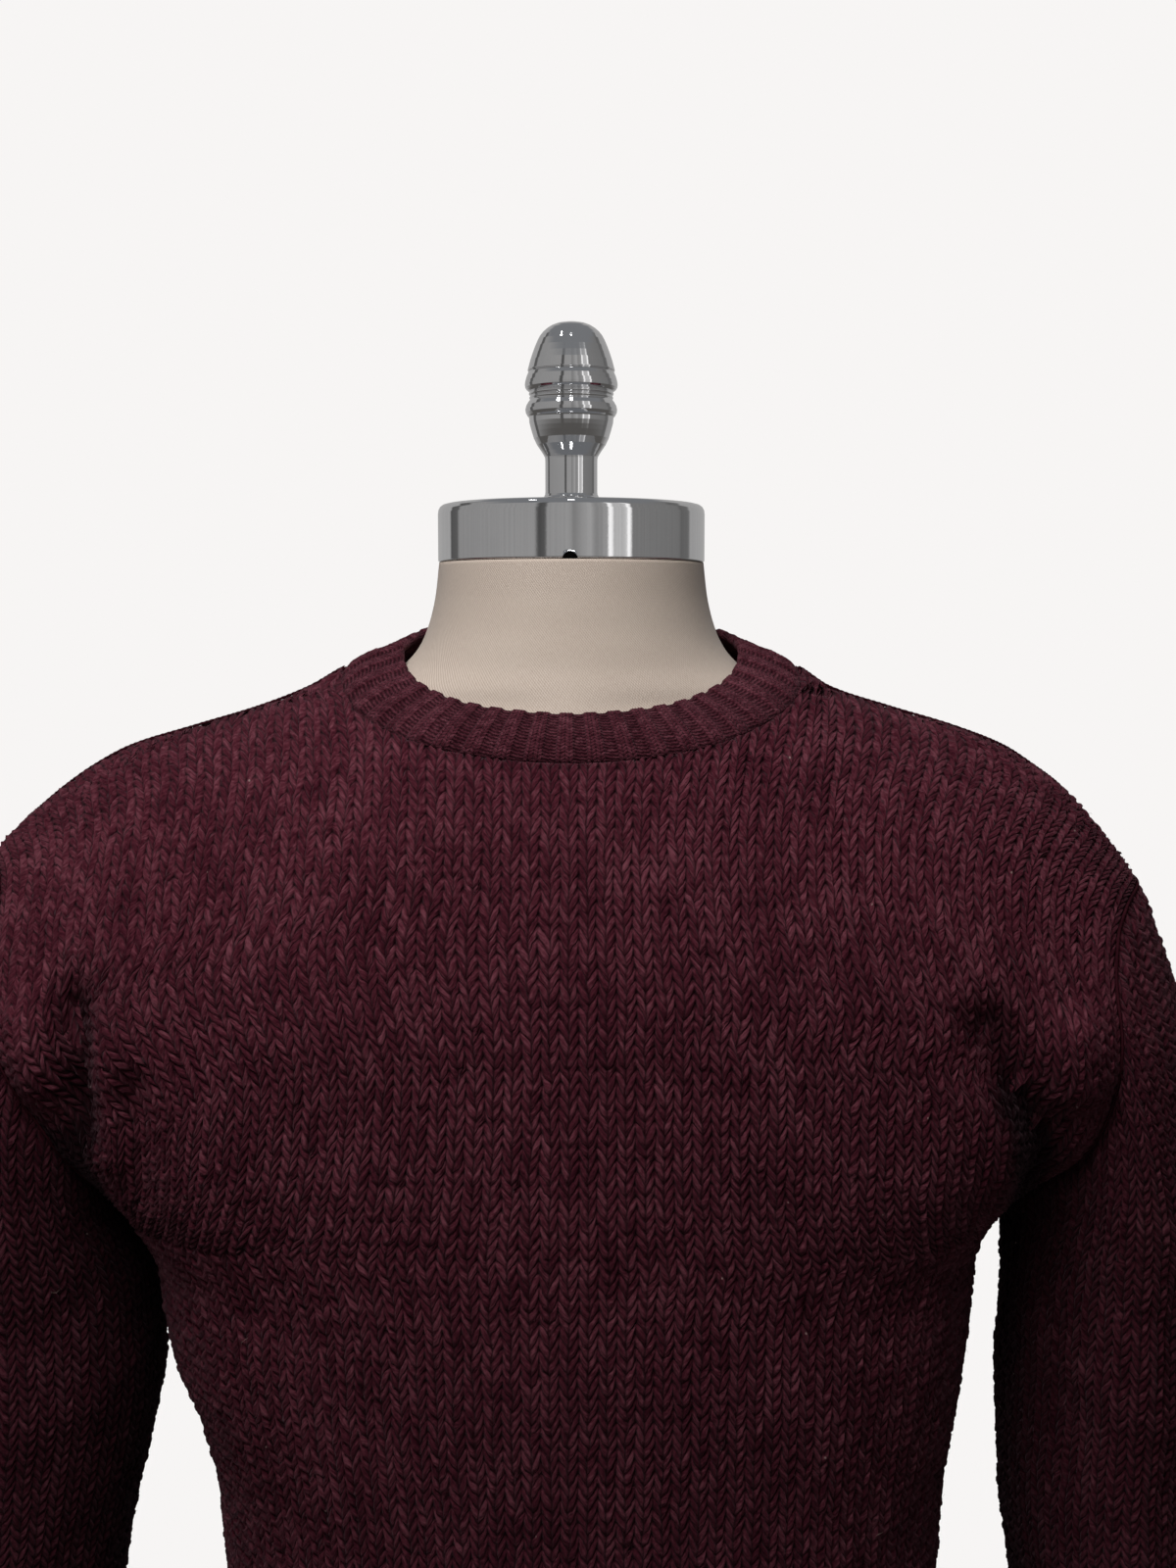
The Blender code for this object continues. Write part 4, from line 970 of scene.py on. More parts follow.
# %% One wrapped socket
class Wire:
    """One output of a node, which can be used in expressions."""

    def __init__(self, tree, socket=None):
        self.tree, self.socket = tree, socket

    def node(self, kind, settings=None, values=None, output=0):
        """A new node of any kind: settings first, then a value or a link for each socket."""
        made = self.tree.nodes.new("ShaderNode" + kind)
        for key, value in (settings or {}).items():
            if key == "stops":
                ramp = made.color_ramp.elements
                while len(ramp) < len(value):
                    ramp.new(0.5)
                for stop, (place, colour) in zip(ramp, value):
                    stop.position, stop.color = place, (*colour, 1.0)
            else:
                setattr(made, key, value)
        for key, value in (values or {}).items():
            self.join(made, key, value)
        return Wire(self.tree, made.outputs[output])

    def join(self, shader, socket, value):
        """Puts a value, or a link from another wire, on one of a node's sockets."""
        if isinstance(value, Wire):
            self.tree.links.new(value.socket, shader.inputs[socket])
        else:
            shader.inputs[socket].default_value = value

    def math(self, operation, *values):
        """A Math node on these values."""
        return self.node("Math", {"operation": operation}, dict(enumerate(values)))

    def __add__(self, other):
        return self.math("ADD", self, other)

    def __sub__(self, other):
        return self.math("SUBTRACT", self, other)

    def __mul__(self, other):
        return self.math("MULTIPLY", self, other)

    def __truediv__(self, other):
        return self.math("DIVIDE", self, other)

    def __pow__(self, other):
        return self.math("POWER", self, other)

    def __rsub__(self, other):
        return self.math("SUBTRACT", other, self)

    def __rtruediv__(self, other):
        return self.math("DIVIDE", other, self)

    __radd__, __rmul__ = __add__, __mul__

    def fract(self):
        """What is left over a whole number."""
        return self.math("FRACT", self)

    def floor(self):
        """The whole number below."""
        return self.math("FLOOR", self)

    def size(self):
        """The value without its sign."""
        return self.math("ABSOLUTE", self)

    def hump(self, power):
        """A round hump: nought at 0 and at 1, one between them."""
        bow = self.math("SINE", self * math.pi)
        return self.math("MAXIMUM", bow, 0.0) ** power

    def wave(self):
        """A wave between 0 and 1 that repeats with every whole number."""
        return self.math("COSINE", self * (2 * math.pi)) * 0.5 + 0.5

    def step(self, low, high):
        """A smooth step from 0 at low to 1 at high."""
        return self.node("MapRange", {"interpolation_type": "SMOOTHSTEP"},
                         {"Value": self, "From Min": low, "From Max": high})

    def colours(self, *stops):
        """A colour ramp of this value."""
        return self.node("ValToRGB", {"stops": stops}, {0: self})

    def blend(self, one, other):
        """A mix of two colours by this value."""
        return self.node("Mix", {"data_type": "RGBA"}, {0: self, 6: one, 7: other}, 2)

    def vector(self, x, y, z=0.0):
        """Three values as one vector."""
        return self.node("CombineXYZ", None, {0: x, 1: y, 2: z})

    def parts(self):
        """The three values of this vector."""
        outputs = self.node("SeparateXYZ", None, {0: self}).socket.node.outputs
        return [Wire(self.tree, output) for output in outputs]

    def noise(self, scale, detail=2.0, rough=0.5):
        """Noise from 0 to 1 on this vector."""
        return self.node("TexNoise", {"noise_dimensions": "3D"}, {
            "Vector": self, "Scale": scale, "Detail": detail, "Roughness": rough})

    def place(self):
        """The place on the object, in metres."""
        return self.node("TexCoord", None, None, 3)

    def tone(self):
        """The painted shade that a piece carries at each point, or on the loose fibres their
        paleness.
        """
        return self.node("Attribute", {"attribute_name": "tone"}, None, 2)


def material_of(name, **values):
    """A new material, a wire to build on, and its shader with the uniform values set."""
    made = bpy.data.materials.new(name)
    made.use_nodes = True
    shader = made.node_tree.nodes["Principled BSDF"]
    for key, value in values.items():
        shader.inputs[key.replace("_", " ")].default_value = value
    return made, Wire(made.node_tree), shader


def bumps(wire, shader, height, strength, distance):
    """Lets light fall on the surface as if it had this height."""
    bump = wire.node("Bump", None, {"Strength": strength, "Distance": distance, "Height": height})
    wire.join(shader, "Normal", bump)


# %% [markdown]
# ## Wool
#
# Thick wool is a bundle of fine fibres that run along the yarn, in several shades of one dye. Where
# two yarns meet, almost no light gets in, so the hollows get a near-black painted shade, and each
# piece's own painted shade darkens the wool further. Loose fibres stand off the surface and catch
# the light softly, which the shader's faint sheen and the two noises of stray fibres, painted in the
# wool's light colour as a painted highlight, stand for. The pattern reads the map of stitches, so
# that the fibres follow each leg of each V.

# %% Two patterns of knitting
def plain_pattern(wire):
    """Plain knitting: how high the yarn lies, where fibres run, and a number for each leg."""
    across, up, _ = wire.node("UVMap", {"uv_map": "stitches"}).parts()
    across = across + (wire.vector(across * 1.1, up * 0.7).noise(1.0) - 0.5) * 0.26
    up = up + (wire.vector(across * 0.8, up * 0.9, 5.0).noise(1.0) - 0.5) * 0.42
    half = ((across + 0.5).fract() - 0.5).size() * 2.0
    phase = up - half * LEAN + 0.25
    number = (across * 2.0).floor() * 3.7 + phase.floor() * 1.3
    round_leg = phase.fract().hump(0.62)
    edge = half.step(0.68, 1.04) * (1.0 - round_leg * 0.35)
    leg = half.step(-0.2, 0.38) * (1.0 - edge)
    high = (leg * 0.84 + 0.16) * (round_leg * 0.62 + 0.38)
    fibres = wire.vector((phase + half * 0.28) * 6.5, half * 1.2, number)
    return high, fibres, number


def rib_pattern(wire):
    """Two-by-two ribbing: the same three values, with four fine legs on a rib and purl bumps."""
    across, up, _ = wire.node("UVMap", {"uv_map": "stitches"}).parts()
    up = up + (wire.vector(across * 5.0, up * 0.8).noise(1.0) - 0.5) * 0.5
    across = across + (wire.vector(across * 2.5, up * 0.7, 3.0).noise(1.0) - 0.5) * 0.05
    place = (across + (0.5 - RIB_FIRST)).fract() - 0.5
    away = place.size()
    quarter = RIB_SHARE / 4
    leg = (away / quarter).fract()
    half = (away - quarter).size() / quarter
    on_rib = 1.0 - away.step(RIB_SHARE / 2 - 0.03, RIB_SHARE / 2 + 0.03)
    phase = up - half * 0.75
    knitted = (leg.hump(0.6) * 0.62 + 0.38) * (phase.fract().hump(0.7) * 0.55 + 0.45)
    purl = (up + wire.math("SINE", place * 14.0) * 0.18).wave() * 0.42 + 0.2
    high = on_rib * knitted + (1.0 - on_rib) * purl
    number = (across * 4.0).floor() * 2.9 + phase.floor() * 1.7
    fibres = wire.vector((phase + half * 0.35) * 5.0, half * 0.9, number)
    return high, fibres, number


# %% Wool, plain and ribbed
# Painted shade for the hollows between the yarns, near black.
HOLLOW_SHADE = (0.0012, 0.0004, 0.0007, 1.0)
LINT = (0.30, 0.22, 0.20, 1.0)


def stray_fibres(place, bend):
    """How much stray fibre shows at a place: two noises stretched along slanting lines."""
    x, y, z = place.parts()
    one = place.vector(x * 1500.0 + z * 500.0 + bend, z * 260.0 - x * 200.0 + bend, y * 400.0)
    two = place.vector(x * 320.0 + z * 160.0 - bend, z * 1400.0 - x * 500.0 + bend, y * 400.0)
    return one.noise(1.0, 1.0).step(0.60, 0.78) * 0.5 + two.noise(1.0, 1.0).step(0.62, 0.80) * 0.4


def wool(name, pattern, dark, mid, light, gap, tall):
    """Burgundy wool in one of the two patterns, painted dark in its hollows as shade: gap is how
    light the hollows stay.
    """
    made, wire, shader = material_of(
        name, Roughness=0.95, Sheen_Weight=0.05, Sheen_Roughness=0.5,
        Sheen_Tint=(1.0, 0.6, 0.7, 1.0), Specular_IOR_Level=0.05)
    high, fibres, number = pattern(wire)
    place = wire.place()
    strand = fibres.noise(1.0, 3.0, 0.62)
    heather, patches = place.noise(420.0), place.noise(42.0)
    lit_fluff = stray_fibres(place, place.noise(90.0, 1.0) * 7.0)
    each = wire.node("TexWhiteNoise", {"noise_dimensions": "1D"}, {"W": number})
    shade = (strand - 0.5) * 1.5 + (heather - 0.5) * 0.7 + (each - 0.5) * 0.3
    shade = shade + (patches - 0.5) * 0.5 + 0.5
    yarn = shade.colours((0.15, dark), (0.5, mid), (0.88, light))
    fleck, rare = (wire.node("TexVoronoi", {"feature": "F1"}, {"Vector": place, "Scale": 230.0}, k)
                   for k in (0, 1))
    lint = (1.0 - fleck.step(0.07, 0.15)) * rare.parts()[0].step(0.988, 0.993)
    # Painted shade: dark in the hollows between yarns, and darker still where the piece's painted
    # shade says.
    tone = wire.tone()
    open_up = (high.step(0.04, 0.74) * (1.0 - gap) + gap) * (1.0 - tone * 0.93)
    # Painted highlight: where stray fibres show, the colour is mixed towards the wool's light colour,
    # less so in painted shade.
    fluffy = (lit_fluff * (1.0 - tone) * 0.30).blend(open_up.blend(HOLLOW_SHADE, yarn), (*light, 1.0))
    wire.join(shader, "Base Color", (lint * 0.6).blend(fluffy, LINT))
    fuzz = place.noise(1100.0, 2.0, 0.7)
    bumps(wire, shader, high.step(-0.1, 0.9) + strand * 0.22 + fuzz * 0.16, 1.0, tall)
    return made


knit = wool("knit", plain_pattern, (0.026, 0.0040, 0.0078), (0.060, 0.0118, 0.0190),
            (0.122, 0.036, 0.049), 0.03, 0.0014)
rib = wool("rib", rib_pattern, (0.027, 0.0052, 0.0086), (0.064, 0.0150, 0.0225),
           (0.120, 0.038, 0.050), 0.10, 0.0008)

# %% [markdown]
# ## Canvas and chrome
#
# The form is covered in a plain cream twill: fine ridges that climb round it, slightly uneven. Its
# fittings are polished steel, which is a mirror with the faintest hairlines. Both follow a turned
# shape, so their patterns are worked out from the angle round the axis and the height.

# %% Canvas and chrome
NECK_GIRTH = 0.062  # radius in metres at which the twill's ridges have their width
RIDGE_WIDE, THREAD_WIDE = 0.0014, 0.0010

canvas, wire, shader = material_of("canvas", Roughness=0.86, Sheen_Weight=0.1,
                                   Specular_IOR_Level=0.2)
place = wire.place()
x, y, up = place.parts()
round_it = wire.math("ARCTAN2", x, y * -1.0) * NECK_GIRTH
ridge = ((round_it * 1.25 + up) / RIDGE_WIDE).wave()
thread = ((round_it - up * 0.35) / THREAD_WIDE).wave()
uneven = wire.vector(round_it * 1300.0, up * 420.0).noise(1.0, 3.0)
weave = ridge * 0.55 + thread * 0.2 + uneven * 0.5
shade = (weave - 0.6) * 0.75 + (place.noise(28.0, 3.0) - 0.5) * 0.18 + 0.5
wire.join(shader, "Base Color", shade.colours(
    (0.1, (0.35, 0.275, 0.228)), (0.5, (0.46, 0.382, 0.322)), (0.92, (0.56, 0.48, 0.415))))
bumps(wire, shader, weave, 0.5, 0.0003)

chrome, wire, shader = material_of("chrome", Metallic=1.0, Roughness=0.03)
place = wire.place()
smear, grain = place.noise(45.0, 3.0), place.noise(900.0)
wire.join(shader, "Roughness", smear.step(0.3, 0.8) * 0.03 + 0.02 + grain * 0.012)
wire.join(shader, "Base Color", (smear * 0.5 + grain * 0.1 + 0.2).colours(
    (0.3, (0.74, 0.745, 0.76)), (0.7, (0.83, 0.832, 0.84))))
bumps(wire, shader, grain, 0.02, 0.0002)

# The inside of the cap's notch: a near-black painted shade, as little light gets in there.
notch_shade, wire, shader = material_of("notch_shade", Roughness=0.7)
wire.join(shader, "Base Color", wire.place().noise(300.0).colours(
    (0.3, (0.004, 0.004, 0.004)), (0.7, (0.008, 0.008, 0.008))))

# %% [markdown]
# ## Turned fittings and the form
#
# The cap, the finial, the pole and the base are turned on a lathe, so each is one profile swept round
# the stand's axis in fine steps. A profile gets an extra point close to each corner, which keeps its
# flat faces flat when the shading is smooth. The form is a stack of squared ellipses, cut back under
# the shoulders so that the cloth lies over it.

# %% Swept surfaces
def with_corners(profile, close):
    """A profile with extra points close to both ends of each segment that is long enough."""
    made = [profile[0]]
    for one, two in zip(profile[:-1], profile[1:]):
        run = math.hypot(two[0] - one[0], two[1] - one[1])
        if run > 3 * close:
            for share in (close / run, 1 - close / run):
                made.append(tuple(a + (b - a) * share for a, b in zip(one, two)))
        made.append(two)
    return np.array(made, float)


def stacked(name, rings, material):
    """A closed surface from rings of points. A ring that has shrunk to a point closes an end."""
    count = rings.shape[1]
    ids = np.arange(rings.shape[0] * count).reshape(-1, count)
    for end in (0, -1):
        if np.abs(rings[end] - rings[end][0]).max() < 1e-6:
            ids[end] = ids[end, 0]
    return piece_of(name, rings, grid_triangles(ids, True), material)


def turned(name, profile, material, steps=160, close=0.25):
    """A solid of revolution from a profile of radius and height that runs down from the top."""
    line = with_corners(profile, close)
    turn = np.linspace(0, 2 * math.pi, steps, endpoint=False)
    rings = np.stack([line[:, :1] * np.cos(turn), line[:, :1] * np.sin(turn),
                      line[:, 1:] + 0 * turn], 2)
    return stacked(name, rings, material)


def cap_piece(name, material, dark):
    """The neck cap: a turned disc with a small half-round notch under its front edge, painted
    near-black inside as shade.

    Over the notch the lower points rise to the arch z = foot + sqrt(r * r - x * x).
    """
    top = NECK_TOP + CAP_HEIGHT
    profile = [(0, top), (CAP_RADIUS - 3.4, top), (CAP_RADIUS - 2.0, top - 0.35),
               (CAP_RADIUS - 0.9, top - 1.2), (CAP_RADIUS - 0.25, top - 2.5),
               (CAP_RADIUS, top - 4.2), (CAP_RADIUS, NECK_TOP + 4.6),
               (CAP_RADIUS, NECK_TOP + 0.7), (CAP_RADIUS - 0.2, NECK_TOP + 0.2),
               (CAP_RADIUS - 0.7, NECK_TOP), (CAP_RADIUS - 8.0, NECK_TOP),
               (CAP_RADIUS - 8.2, NECK_TOP), (0, NECK_TOP)]
    line = with_corners(profile, 0.25)
    even = np.linspace(0, 2 * math.pi, 160, endpoint=False)
    notch = 1.5 * math.pi + np.linspace(-1.08, 1.08, 25) * NOTCH_RADIUS / CAP_RADIUS
    even = even[(even < notch[0]) | (even > notch[-1])]
    turn = np.sort(np.concatenate([even, notch]))
    x, y = line[:, :1] * np.cos(turn), line[:, :1] * np.sin(turn)
    z = line[:, 1:] + 0 * turn
    arch = NECK_TOP - 0.6 + np.sqrt(np.maximum(NOTCH_RADIUS**2 - x * x, 0))
    inside = (np.abs(x) < NOTCH_RADIUS) & (y < -(CAP_RADIUS - 8.1)) & (z < arch)
    z = np.where(inside, arch, z)
    piece = stacked(name, np.stack([x, y, z], 2), material)
    # The faces inside the notch take the near-black painted shade.
    piece.data.materials.append(dark)
    centre = np.zeros(len(piece.data.polygons) * 3)
    piece.data.polygons.foreach_get("center", centre)
    centre = centre.reshape(-1, 3) / MM
    away = np.hypot(centre[:, 0], centre[:, 1])
    low = centre[:, 2] < NECK_TOP + NOTCH_RADIUS
    hollow = (np.abs(centre[:, 0]) < NOTCH_RADIUS) & (centre[:, 1] < 0) & low
    hollow &= (away < CAP_RADIUS - 0.3) & (away > CAP_RADIUS - 8.6)
    piece.data.polygons.foreach_set("material_index", hollow.astype(np.int32))
    piece.data.polygons.foreach_set("use_smooth", ~hollow)
    return piece


# %% The dress form
FORM_STEPS = 128  # mesh columns round the form
FINE_FROM = 1360  # height from which its rings lie closer


def form_piece(name, material):
    """The dress form's smooth canvas body, from the hips to the neck."""
    low = np.linspace(FORM[0][0], FINE_FROM, 80)[:-1]
    z = np.concatenate([low, np.linspace(FINE_FROM, FORM[-1][0], 84)])
    half, front, back, square = (read(FORM, k, z)[:, None] for k in (1, 2, 3, 4))
    turn = np.linspace(0, 2 * math.pi, FORM_STEPS, endpoint=False)
    cos, sin = np.cos(turn), np.sin(turn)
    x = half * np.sign(cos) * np.abs(cos) ** (2 / square)
    y = np.where(sin < 0, front, back) * np.abs(sin) ** (2 / square)
    level = z[:, None] + 0 * x
    drop = 6.3 + 6.6 * np.clip((120 - np.abs(x)) / 14, 0, 1)
    under = np.where(sin < 0, depth("front", x, level + drop), depth("back", x, level + drop))
    under = under - 7.0 * np.clip(under / 25, 0, 1)
    edge = np.where(sin < 0, neckline("front", x), neckline("back", x))
    bare = np.clip((98 - np.abs(x)) / 14, 0, 1) * (level + 4 >= edge)
    bare = np.maximum(bare, step_up(1416, 1430, level))
    bare = np.where(level < 1370, 1 - step_up(1362, 1370, level), bare)
    tucked = np.minimum(y, np.maximum(under, 1.5))
    y = np.sign(sin) * (tucked + (y - tucked) * bare)
    rings = np.stack([x, y, level], 2)
    foot, top = (np.repeat(rings[[end]].mean(1, keepdims=True), FORM_STEPS, 1) for end in (0, -1))
    return stacked(name, np.concatenate([foot, rings, top]), material)


# %% [markdown]
# ## The pieces
#
# Each knitted piece replaces its plain solid, which stays underneath for collision. The hem and the
# cuffs are ribbed tubes that hang from the last level ring of the body and of each sleeve.

# %% Knit and attach
HEM_LEVELS = [(HEM_FOOT, 0.965), (788, 0.955), (BODY_FOOT - SEAM_GAP, 0.99)]
CUFF_LEVELS = [(CUFF_FOOT, 0.83), (840, 0.85), (SLEEVE_FOOT - SEAM_GAP, 0.97)]


def attach(piece, node, flat_size):
    """Makes a piece stand for its solid: hangs it on the root and hides the solid. flat_size, the
    size that it was cut to, is not used.
    """
    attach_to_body(piece, "root")
    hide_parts(node)


def loop_length(ring):
    """Length round a closed ring, in metres."""
    return float(np.linalg.norm(np.roll(ring, -1, 0) - ring, axis=1).sum()) * MM


for panel, seed in (("front", 11), ("back", 31)):
    piece, (wide, tall, area) = panel_piece(panel, panel + "_knit", knit, seed)
    attach(piece, panel, (wide, tall))

for name, side, seed in (("sleeve_right", 1, 51), ("sleeve_left", -1, 71)):
    piece, flat_size = sleeve_piece(name + "_knit", side, knit, seed)
    attach(piece, name, flat_size)

ring = body_ring(BODY_FOOT, HEM_RIBS * RIB_STEPS)
hem = hanging_band("hem_band_rib", ring, HEM_LEVELS, HEM_RIBS, 4.6, rib, 91)
attach(hem, "hem_band", (loop_length(ring) * 0.965, 0.052))

for name, side, seed in (("right", 1, 95), ("left", -1, 97)):
    ring = sleeve_ring(SLEEVE_FOOT, side, CUFF_RIBS * RIB_STEPS)[0]
    cuff = hanging_band(f"cuff_{name}_rib", ring, CUFF_LEVELS, CUFF_RIBS, 4.4, rib, seed)
    attach(cuff, "cuff_" + name, (loop_length(ring) * 0.87, 0.056))

band, (band_round, band_tall) = neckband_piece("neckband_rib", rib, 99)
attach(band, "neckband", (band_round * 0.9, band_tall))

# %% [markdown]
# ## Seam yarn
#
# The panels are joined with the same wool, which fills the dip of each seam. It is a thin cord
# here, along both armholes and both shoulders, painted darker than the knitting as the shade in
# that dip. Its beads are the stitches of the seam.

# %% Wool of single threads
def thread_wool(name, dark, light):
    """Wool of single threads: pale where the piece's paleness value is 1."""
    made, wire, shader = material_of(name, Roughness=0.9, Specular_IOR_Level=0.05)
    threads = wire.place().noise(60.0).colours((0.3, dark), (0.7, light))
    pale = (wire.tone() * 0.9).blend(threads, (0.34, 0.25, 0.22, 1.0))
    wire.join(shader, "Base Color", pale)
    return made


fibre_wool = thread_wool("fibre_wool", (0.055, 0.014, 0.020), (0.115, 0.036, 0.048))
# The seam yarn is the same wool painted about a third as bright, a painted shade for the seam's dip.
seam_shade_wool = thread_wool("seam_shade_wool", (0.016, 0.0030, 0.0052), (0.034, 0.0068, 0.0105))


# %% A cord in each seam
SEAM_RADIUS = 0.7
CORD_SIDES = 5
CORD_END = 0.02  # radius at an open cord's ends


def cord(line, across, closed):
    """A beaded five-sided tube round a line. An open one shrinks to a point at both ends."""
    ahead = np.roll(line, -1, 0) - np.roll(line, 1, 0)
    sizes = SEAM_RADIUS * (0.85 + 0.3 * (np.arange(len(line)) % 2))
    if not closed:
        ahead[0], ahead[-1] = line[1] - line[0], line[-1] - line[-2]
        sizes[[0, -1]] = CORD_END
    first = unit(np.cross(ahead, across))
    second = unit(np.cross(ahead, first))
    turns = 2 * math.pi * np.arange(CORD_SIDES) / CORD_SIDES
    spokes = np.cos(turns)[:, None] * first[:, None] + np.sin(turns)[:, None] * second[:, None]
    points = line[:, None] + sizes[:, None, None] * spokes
    ids = np.arange(len(line) * CORD_SIDES).reshape(-1, CORD_SIDES)
    if closed:
        ids = np.concatenate([ids, ids[:1]])
    else:
        ids[0], ids[-1] = ids[0, 0], ids[-1, 0]
    return points.reshape(-1, 3), outward(points, grid_triangles(ids, True))


base, runs, tops, _ = whole_cloth("front", np.linspace(0, 1, 240))
edge = at_runs(runs[:, None], base, tops[None])[0]
edge[:, 1] = 0
seams = [cord(sleeve_cloth(side, 400)[-1], (1, 0, 0), True) for side in (1, -1)]
seams += [cord(edge[edge[:, 0] * side > NECK_HALF - 1], (0, 1, 0), False) for side in (1, -1)]
before = np.cumsum([0] + [len(points) for points, _ in seams])
seam_yarn = piece_of("seam_yarn", np.concatenate([points for points, _ in seams]),
                     np.concatenate([faces + n for (_, faces), n in zip(seams, before)]),
                     seam_shade_wool, None, np.zeros(before[-1]))
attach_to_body(seam_yarn, "root")

# %% [markdown]
# ## Loose fibres
#
# Brushed wool lets short fibres stand off the cloth. Each one here is a thin three-sided thread
# with a bend in it that starts just under the knitting and thins to a point. They start at random
# points of the pieces, more of them on the front, and a few are pale and longer.

# %% Short threads that stand off the cloth
FIBRES = 4000
FIBRE_RADIUS = 0.05
FIBRE_ROOT = 0.25  # how far under the surface a fibre starts
PALE_SHARE = 0.006
# A thread's triangles: points 0 to 2 round its foot, 3 to 5 round its knee, and 6 its tip.
THREAD = np.array([(0, 2, 1), (0, 1, 4), (0, 4, 3), (1, 2, 5), (1, 5, 4), (2, 0, 3), (2, 3, 5),
                   (3, 4, 6), (4, 5, 6), (5, 3, 6)])


def fibres_piece(name, skins, material, seed):
    """Threads on the skins: from a start, half a length along one way, then to a bent tip."""
    rng = np.random.default_rng(seed)
    starts, ways = [], []
    for skin in skins:
        many = len(skin.data.vertices)
        place, way = np.empty(many * 3, np.float32), np.empty(many * 3, np.float32)
        skin.data.vertices.foreach_get("co", place)
        skin.data.vertex_normals.foreach_get("vector", way)
        chosen = rng.integers(0, many, FIBRES // len(skins))
        starts.append(place.reshape(-1, 3)[chosen] / MM)
        ways.append(way.reshape(-1, 3)[chosen])
    start, way = np.concatenate(starts), unit(np.concatenate(ways).astype(float))
    many = len(start)
    pale = rng.random(many) < PALE_SHARE
    along = unit(np.cross(way, rng.normal(size=(many, 3))))
    aside = np.cross(way, along)
    length = np.where(pale, rng.uniform(4, 8, many), rng.uniform(1.4, 4.2, many))[:, None]
    lift, curl = rng.uniform(0.1, 0.34, (many, 1)), rng.uniform(-0.5, 0.5, (many, 1))
    foot = start - FIBRE_ROOT * way
    knee = foot + length * (0.5 * along + lift * way)
    tip = foot + length * (0.85 * along + 1.1 * lift * way + curl * aside)
    turns = 2 * math.pi * np.arange(3) / 3
    spokes = np.cos(turns)[:, None, None] * way + np.sin(turns)[:, None, None] * aside
    points = np.concatenate([foot + FIBRE_RADIUS * spokes, knee + FIBRE_RADIUS * spokes,
                             tip[None]]).transpose(1, 0, 2)
    triangles = (THREAD + 7 * np.arange(many)[:, None, None]).reshape(-1, 3)
    return piece_of(name, points, triangles, material, None, np.repeat(pale, 7))


skins = [bpy.data.objects[part + "_knit"]
         for part in ("front", "front", "back", "sleeve_right", "sleeve_left")]
fibres = fibres_piece("loose_fibres", skins, fibre_wool, 123)
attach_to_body(fibres, "root")

# %% [markdown]
# ## The form and its fittings
#
# The pole has a collar under the form and a foot on the base. The base slopes down to a rounded
# rim, so that its edge catches the light.

# %% The form and its fittings
top = FORM[0][0] - SEAM_GAP
POLE = [
    (0, top), (26, top), (27, top - 1), (27, top - 5), (19, top - 9), (18, top - 34),
    (16.5, top - 36), (POLE_RADIUS, top - 36.5), (POLE_RADIUS, BASE_TOP + 20),
    (20, BASE_TOP + 14), (24, BASE_TOP + 4), (26, BASE_TOP + SEAM_GAP), (0, BASE_TOP + SEAM_GAP),
]
BASE = [
    (0, BASE_TOP), (40, BASE_TOP), (120, BASE_TOP - 3.5), (176, BASE_TOP - 8),
    (186, BASE_TOP - 10.2), (BASE_RADIUS - 0.6, 5), (BASE_RADIUS, 3), (BASE_RADIUS - 1, 0), (0, 0),
]
on_neck = [(radius, NECK_TOP + height) for radius, height in FINIAL]
fittings = {
    "form_torso": (form_piece("form_canvas", canvas), "canvas"),
    "neck_cap": (cap_piece("cap_turned", chrome, notch_shade), "chrome"),
    "finial": (turned("finial_turned", on_neck, chrome, close=0.12), "chrome"),
    "pole": (turned("pole_turned", POLE, chrome, 96), "chrome"),
    "base": (turned("base_turned", BASE, chrome, 192), "chrome"),
}
for node, (piece, finish) in fittings.items():
    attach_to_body(piece, "root")
    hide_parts(node)

# %% [markdown]
# ## The studio
#
# A pale floor, a near-white surround, and soft lights from above and in front, a little from the
# left, with one behind that shows the back. The surround is bright where the camera looks at it and
# dimmer as a light, as a lit backdrop far behind the object is. Polished metal sees a room instead,
# with dark and bright bands for its walls and windows.

# %% The floor
floor_mesh = bpy.data.meshes.new("floor")
turn = np.linspace(0, 2 * math.pi, 97)[:-1]
disc = np.stack([1.5 * np.cos(turn), 1.5 * np.sin(turn), 0 * turn - 0.0005], 1)
floor_mesh.from_pydata(disc.tolist(), [], [list(range(96))])
floor = bpy.data.objects.new("floor", floor_mesh)
bpy.context.scene.collection.objects.link(floor)
pale, wire, shader = material_of("pale_floor", Roughness=0.7)
wire.join(shader, "Base Color", (wire.place().noise(3.0) * 0.2 + 0.4).colours(
    (0.3, (0.80, 0.79, 0.785)), (0.7, (0.84, 0.83, 0.825))))
floor_mesh.materials.append(pale)

# %% The surround
# Turn round the axis and brightness, from behind by the left, the front, and the right.
ROOM = [
    (0.0, 0.42), (0.149, 0.40), (0.156, 0.10), (0.184, 0.12), (0.194, 0.30), (0.415, 0.33),
    (0.424, 0.08), (0.440, 0.10), (0.446, 0.33), (0.498, 0.35), (0.506, 0.24), (0.545, 0.40),
    (0.560, 0.26), (0.586, 0.36), (0.590, 1.15), (0.597, 1.15), (0.600, 0.52), (0.632, 0.56),
    (0.635, 1.15), (0.643, 1.15), (0.647, 0.22), (0.790, 0.19), (0.800, 0.14), (0.832, 0.16),
    (0.842, 0.38), (1.0, 0.42),
]
world = bpy.data.worlds.new("studio")
bpy.context.scene.world = world
world.use_nodes = True
sky = Wire(world.node_tree)
x, y, z = sky.node("TexCoord", None, None, 0).parts()
turned_by = sky.math("ARCTAN2", x, y * -1.0) / (2 * math.pi) + 0.5
walls = turned_by.colours(*((t, (v, v * 0.985, v * 0.975)) for t, v in ROOM))
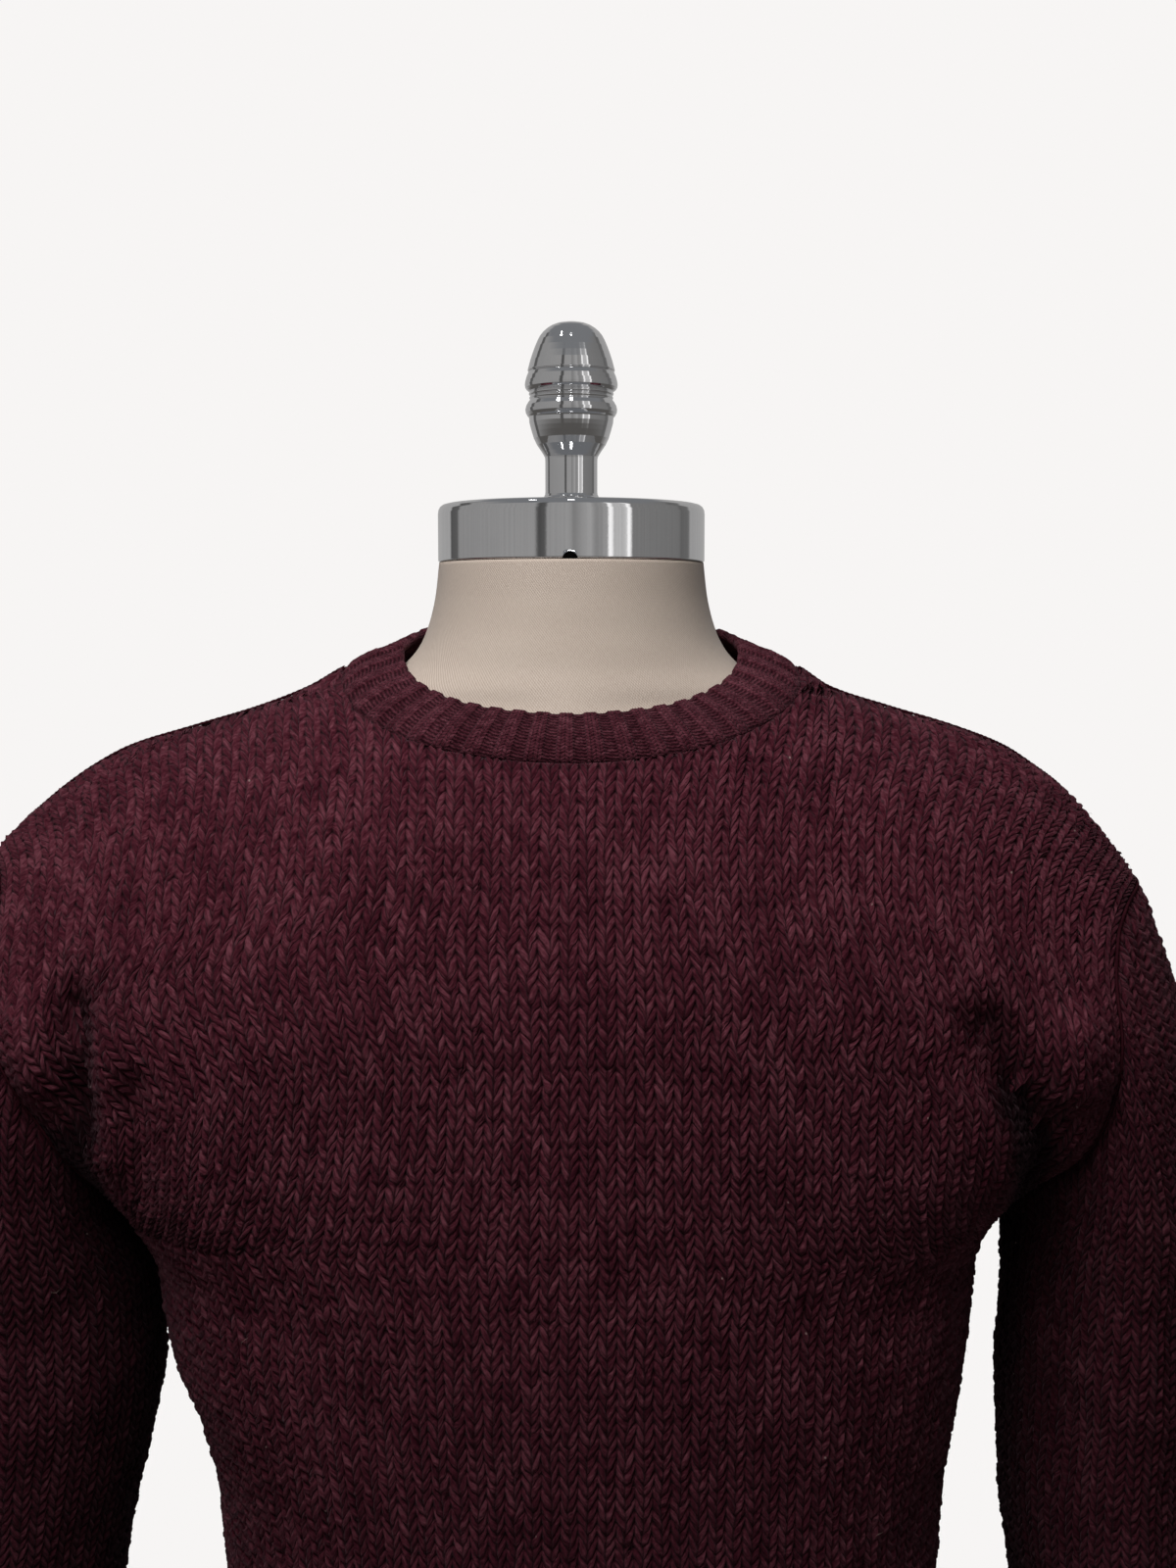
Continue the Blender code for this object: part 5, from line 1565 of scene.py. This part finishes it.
streaks = sky.vector(turned_by * 160.0, 0.0).noise(1.0, 2.0, 0.7)
walls = sky.node("VectorMath", {"operation": "SCALE"}, {0: walls, 3: streaks * 0.5 + 0.75})
ceiling = z.step(0.62, 0.76).blend(walls, (0.20, 0.205, 0.215, 1.0))
inside = (1.0 - z.step(-0.45, -0.1)).blend(ceiling, (0.10, 0.095, 0.09, 1.0))
mirrored, soft, bright = (
    sky.node("Background", None, {"Color": colour, "Strength": strength})
    for colour, strength in (
        (inside, 1.0),
        ((1.0, 0.99, 0.985, 1.0), z.step(-0.2, 1.0) * 0.10 + 0.004),
        ((0.930, 0.913, 0.905, 1.0), 1.0),
    ))
seen_by, shiny = (sky.node("LightPath", None, None, k) for k in (0, 3))
mixed = sky.node("MixShader", None, {0: shiny, 1: soft, 2: mirrored})
mixed = sky.node("MixShader", None, {0: seen_by, 1: mixed, 2: bright})
sky.join(world.node_tree.nodes["World Output"], 0, mixed)


# %% The lights
def softbox(name, place, target, size, power, shines=False):
    """A square area light turned to a target. Polished metal shows it only when it shines."""
    data = bpy.data.lights.new(name, "AREA")
    data.shape, data.size, data.energy = "SQUARE", size, power
    lamp = bpy.data.objects.new(name, data)
    lamp.location = place
    lamp.visible_glossy = shines
    away = np.array(place, float) - np.array(target, float)
    yaw = math.atan2(away[1], away[0]) + math.pi / 2
    tilt = math.acos(away[2] / np.linalg.norm(away))
    lamp.rotation_euler = (tilt, 0, yaw)
    bpy.context.scene.collection.objects.link(lamp)


softbox("top_light", (-0.20, -0.66, 2.15), (0, 0, 1.3), 0.6, 11.6)
softbox("front_light", (-0.2, -1.7, 2.1), (0, 0, 1.4), 1.1, 3.2)
softbox("back_light", (0.5, 2.0, 2.0), (0, 0, 1.1), 1.4, 14)
softbox("spark_one", (0.0, -0.72, 3.0), (0, 0, 1.55), 0.13, 1.2, True)
softbox("spark_two", (-0.62, -0.5, 2.9), (0, 0, 1.55), 0.13, 1.2, True)

# %% [markdown]
# ## The camera
#
# The camera stands 0.8 m in front of the form at the height of its neck, and looks down by 5.4
# degrees. The lens was worked out from the width of the neck cap and the slope of level rings.

# %% Camera
scene = bpy.context.scene
scene.view_settings.view_transform = "Standard"
scene.view_settings.look = "None"
camera_data = bpy.data.cameras.new("camera")
camera_data.sensor_fit = "VERTICAL"
camera_data.sensor_height = 36.0
camera_data.lens = 40.32
camera_data.clip_start = 0.02
camera = bpy.data.objects.new("camera", camera_data)
camera.location = (0.0075, -0.8, 1.45)
camera.rotation_euler = (math.radians(84.6), 0, 0)
scene.collection.objects.link(camera)
scene.camera = camera
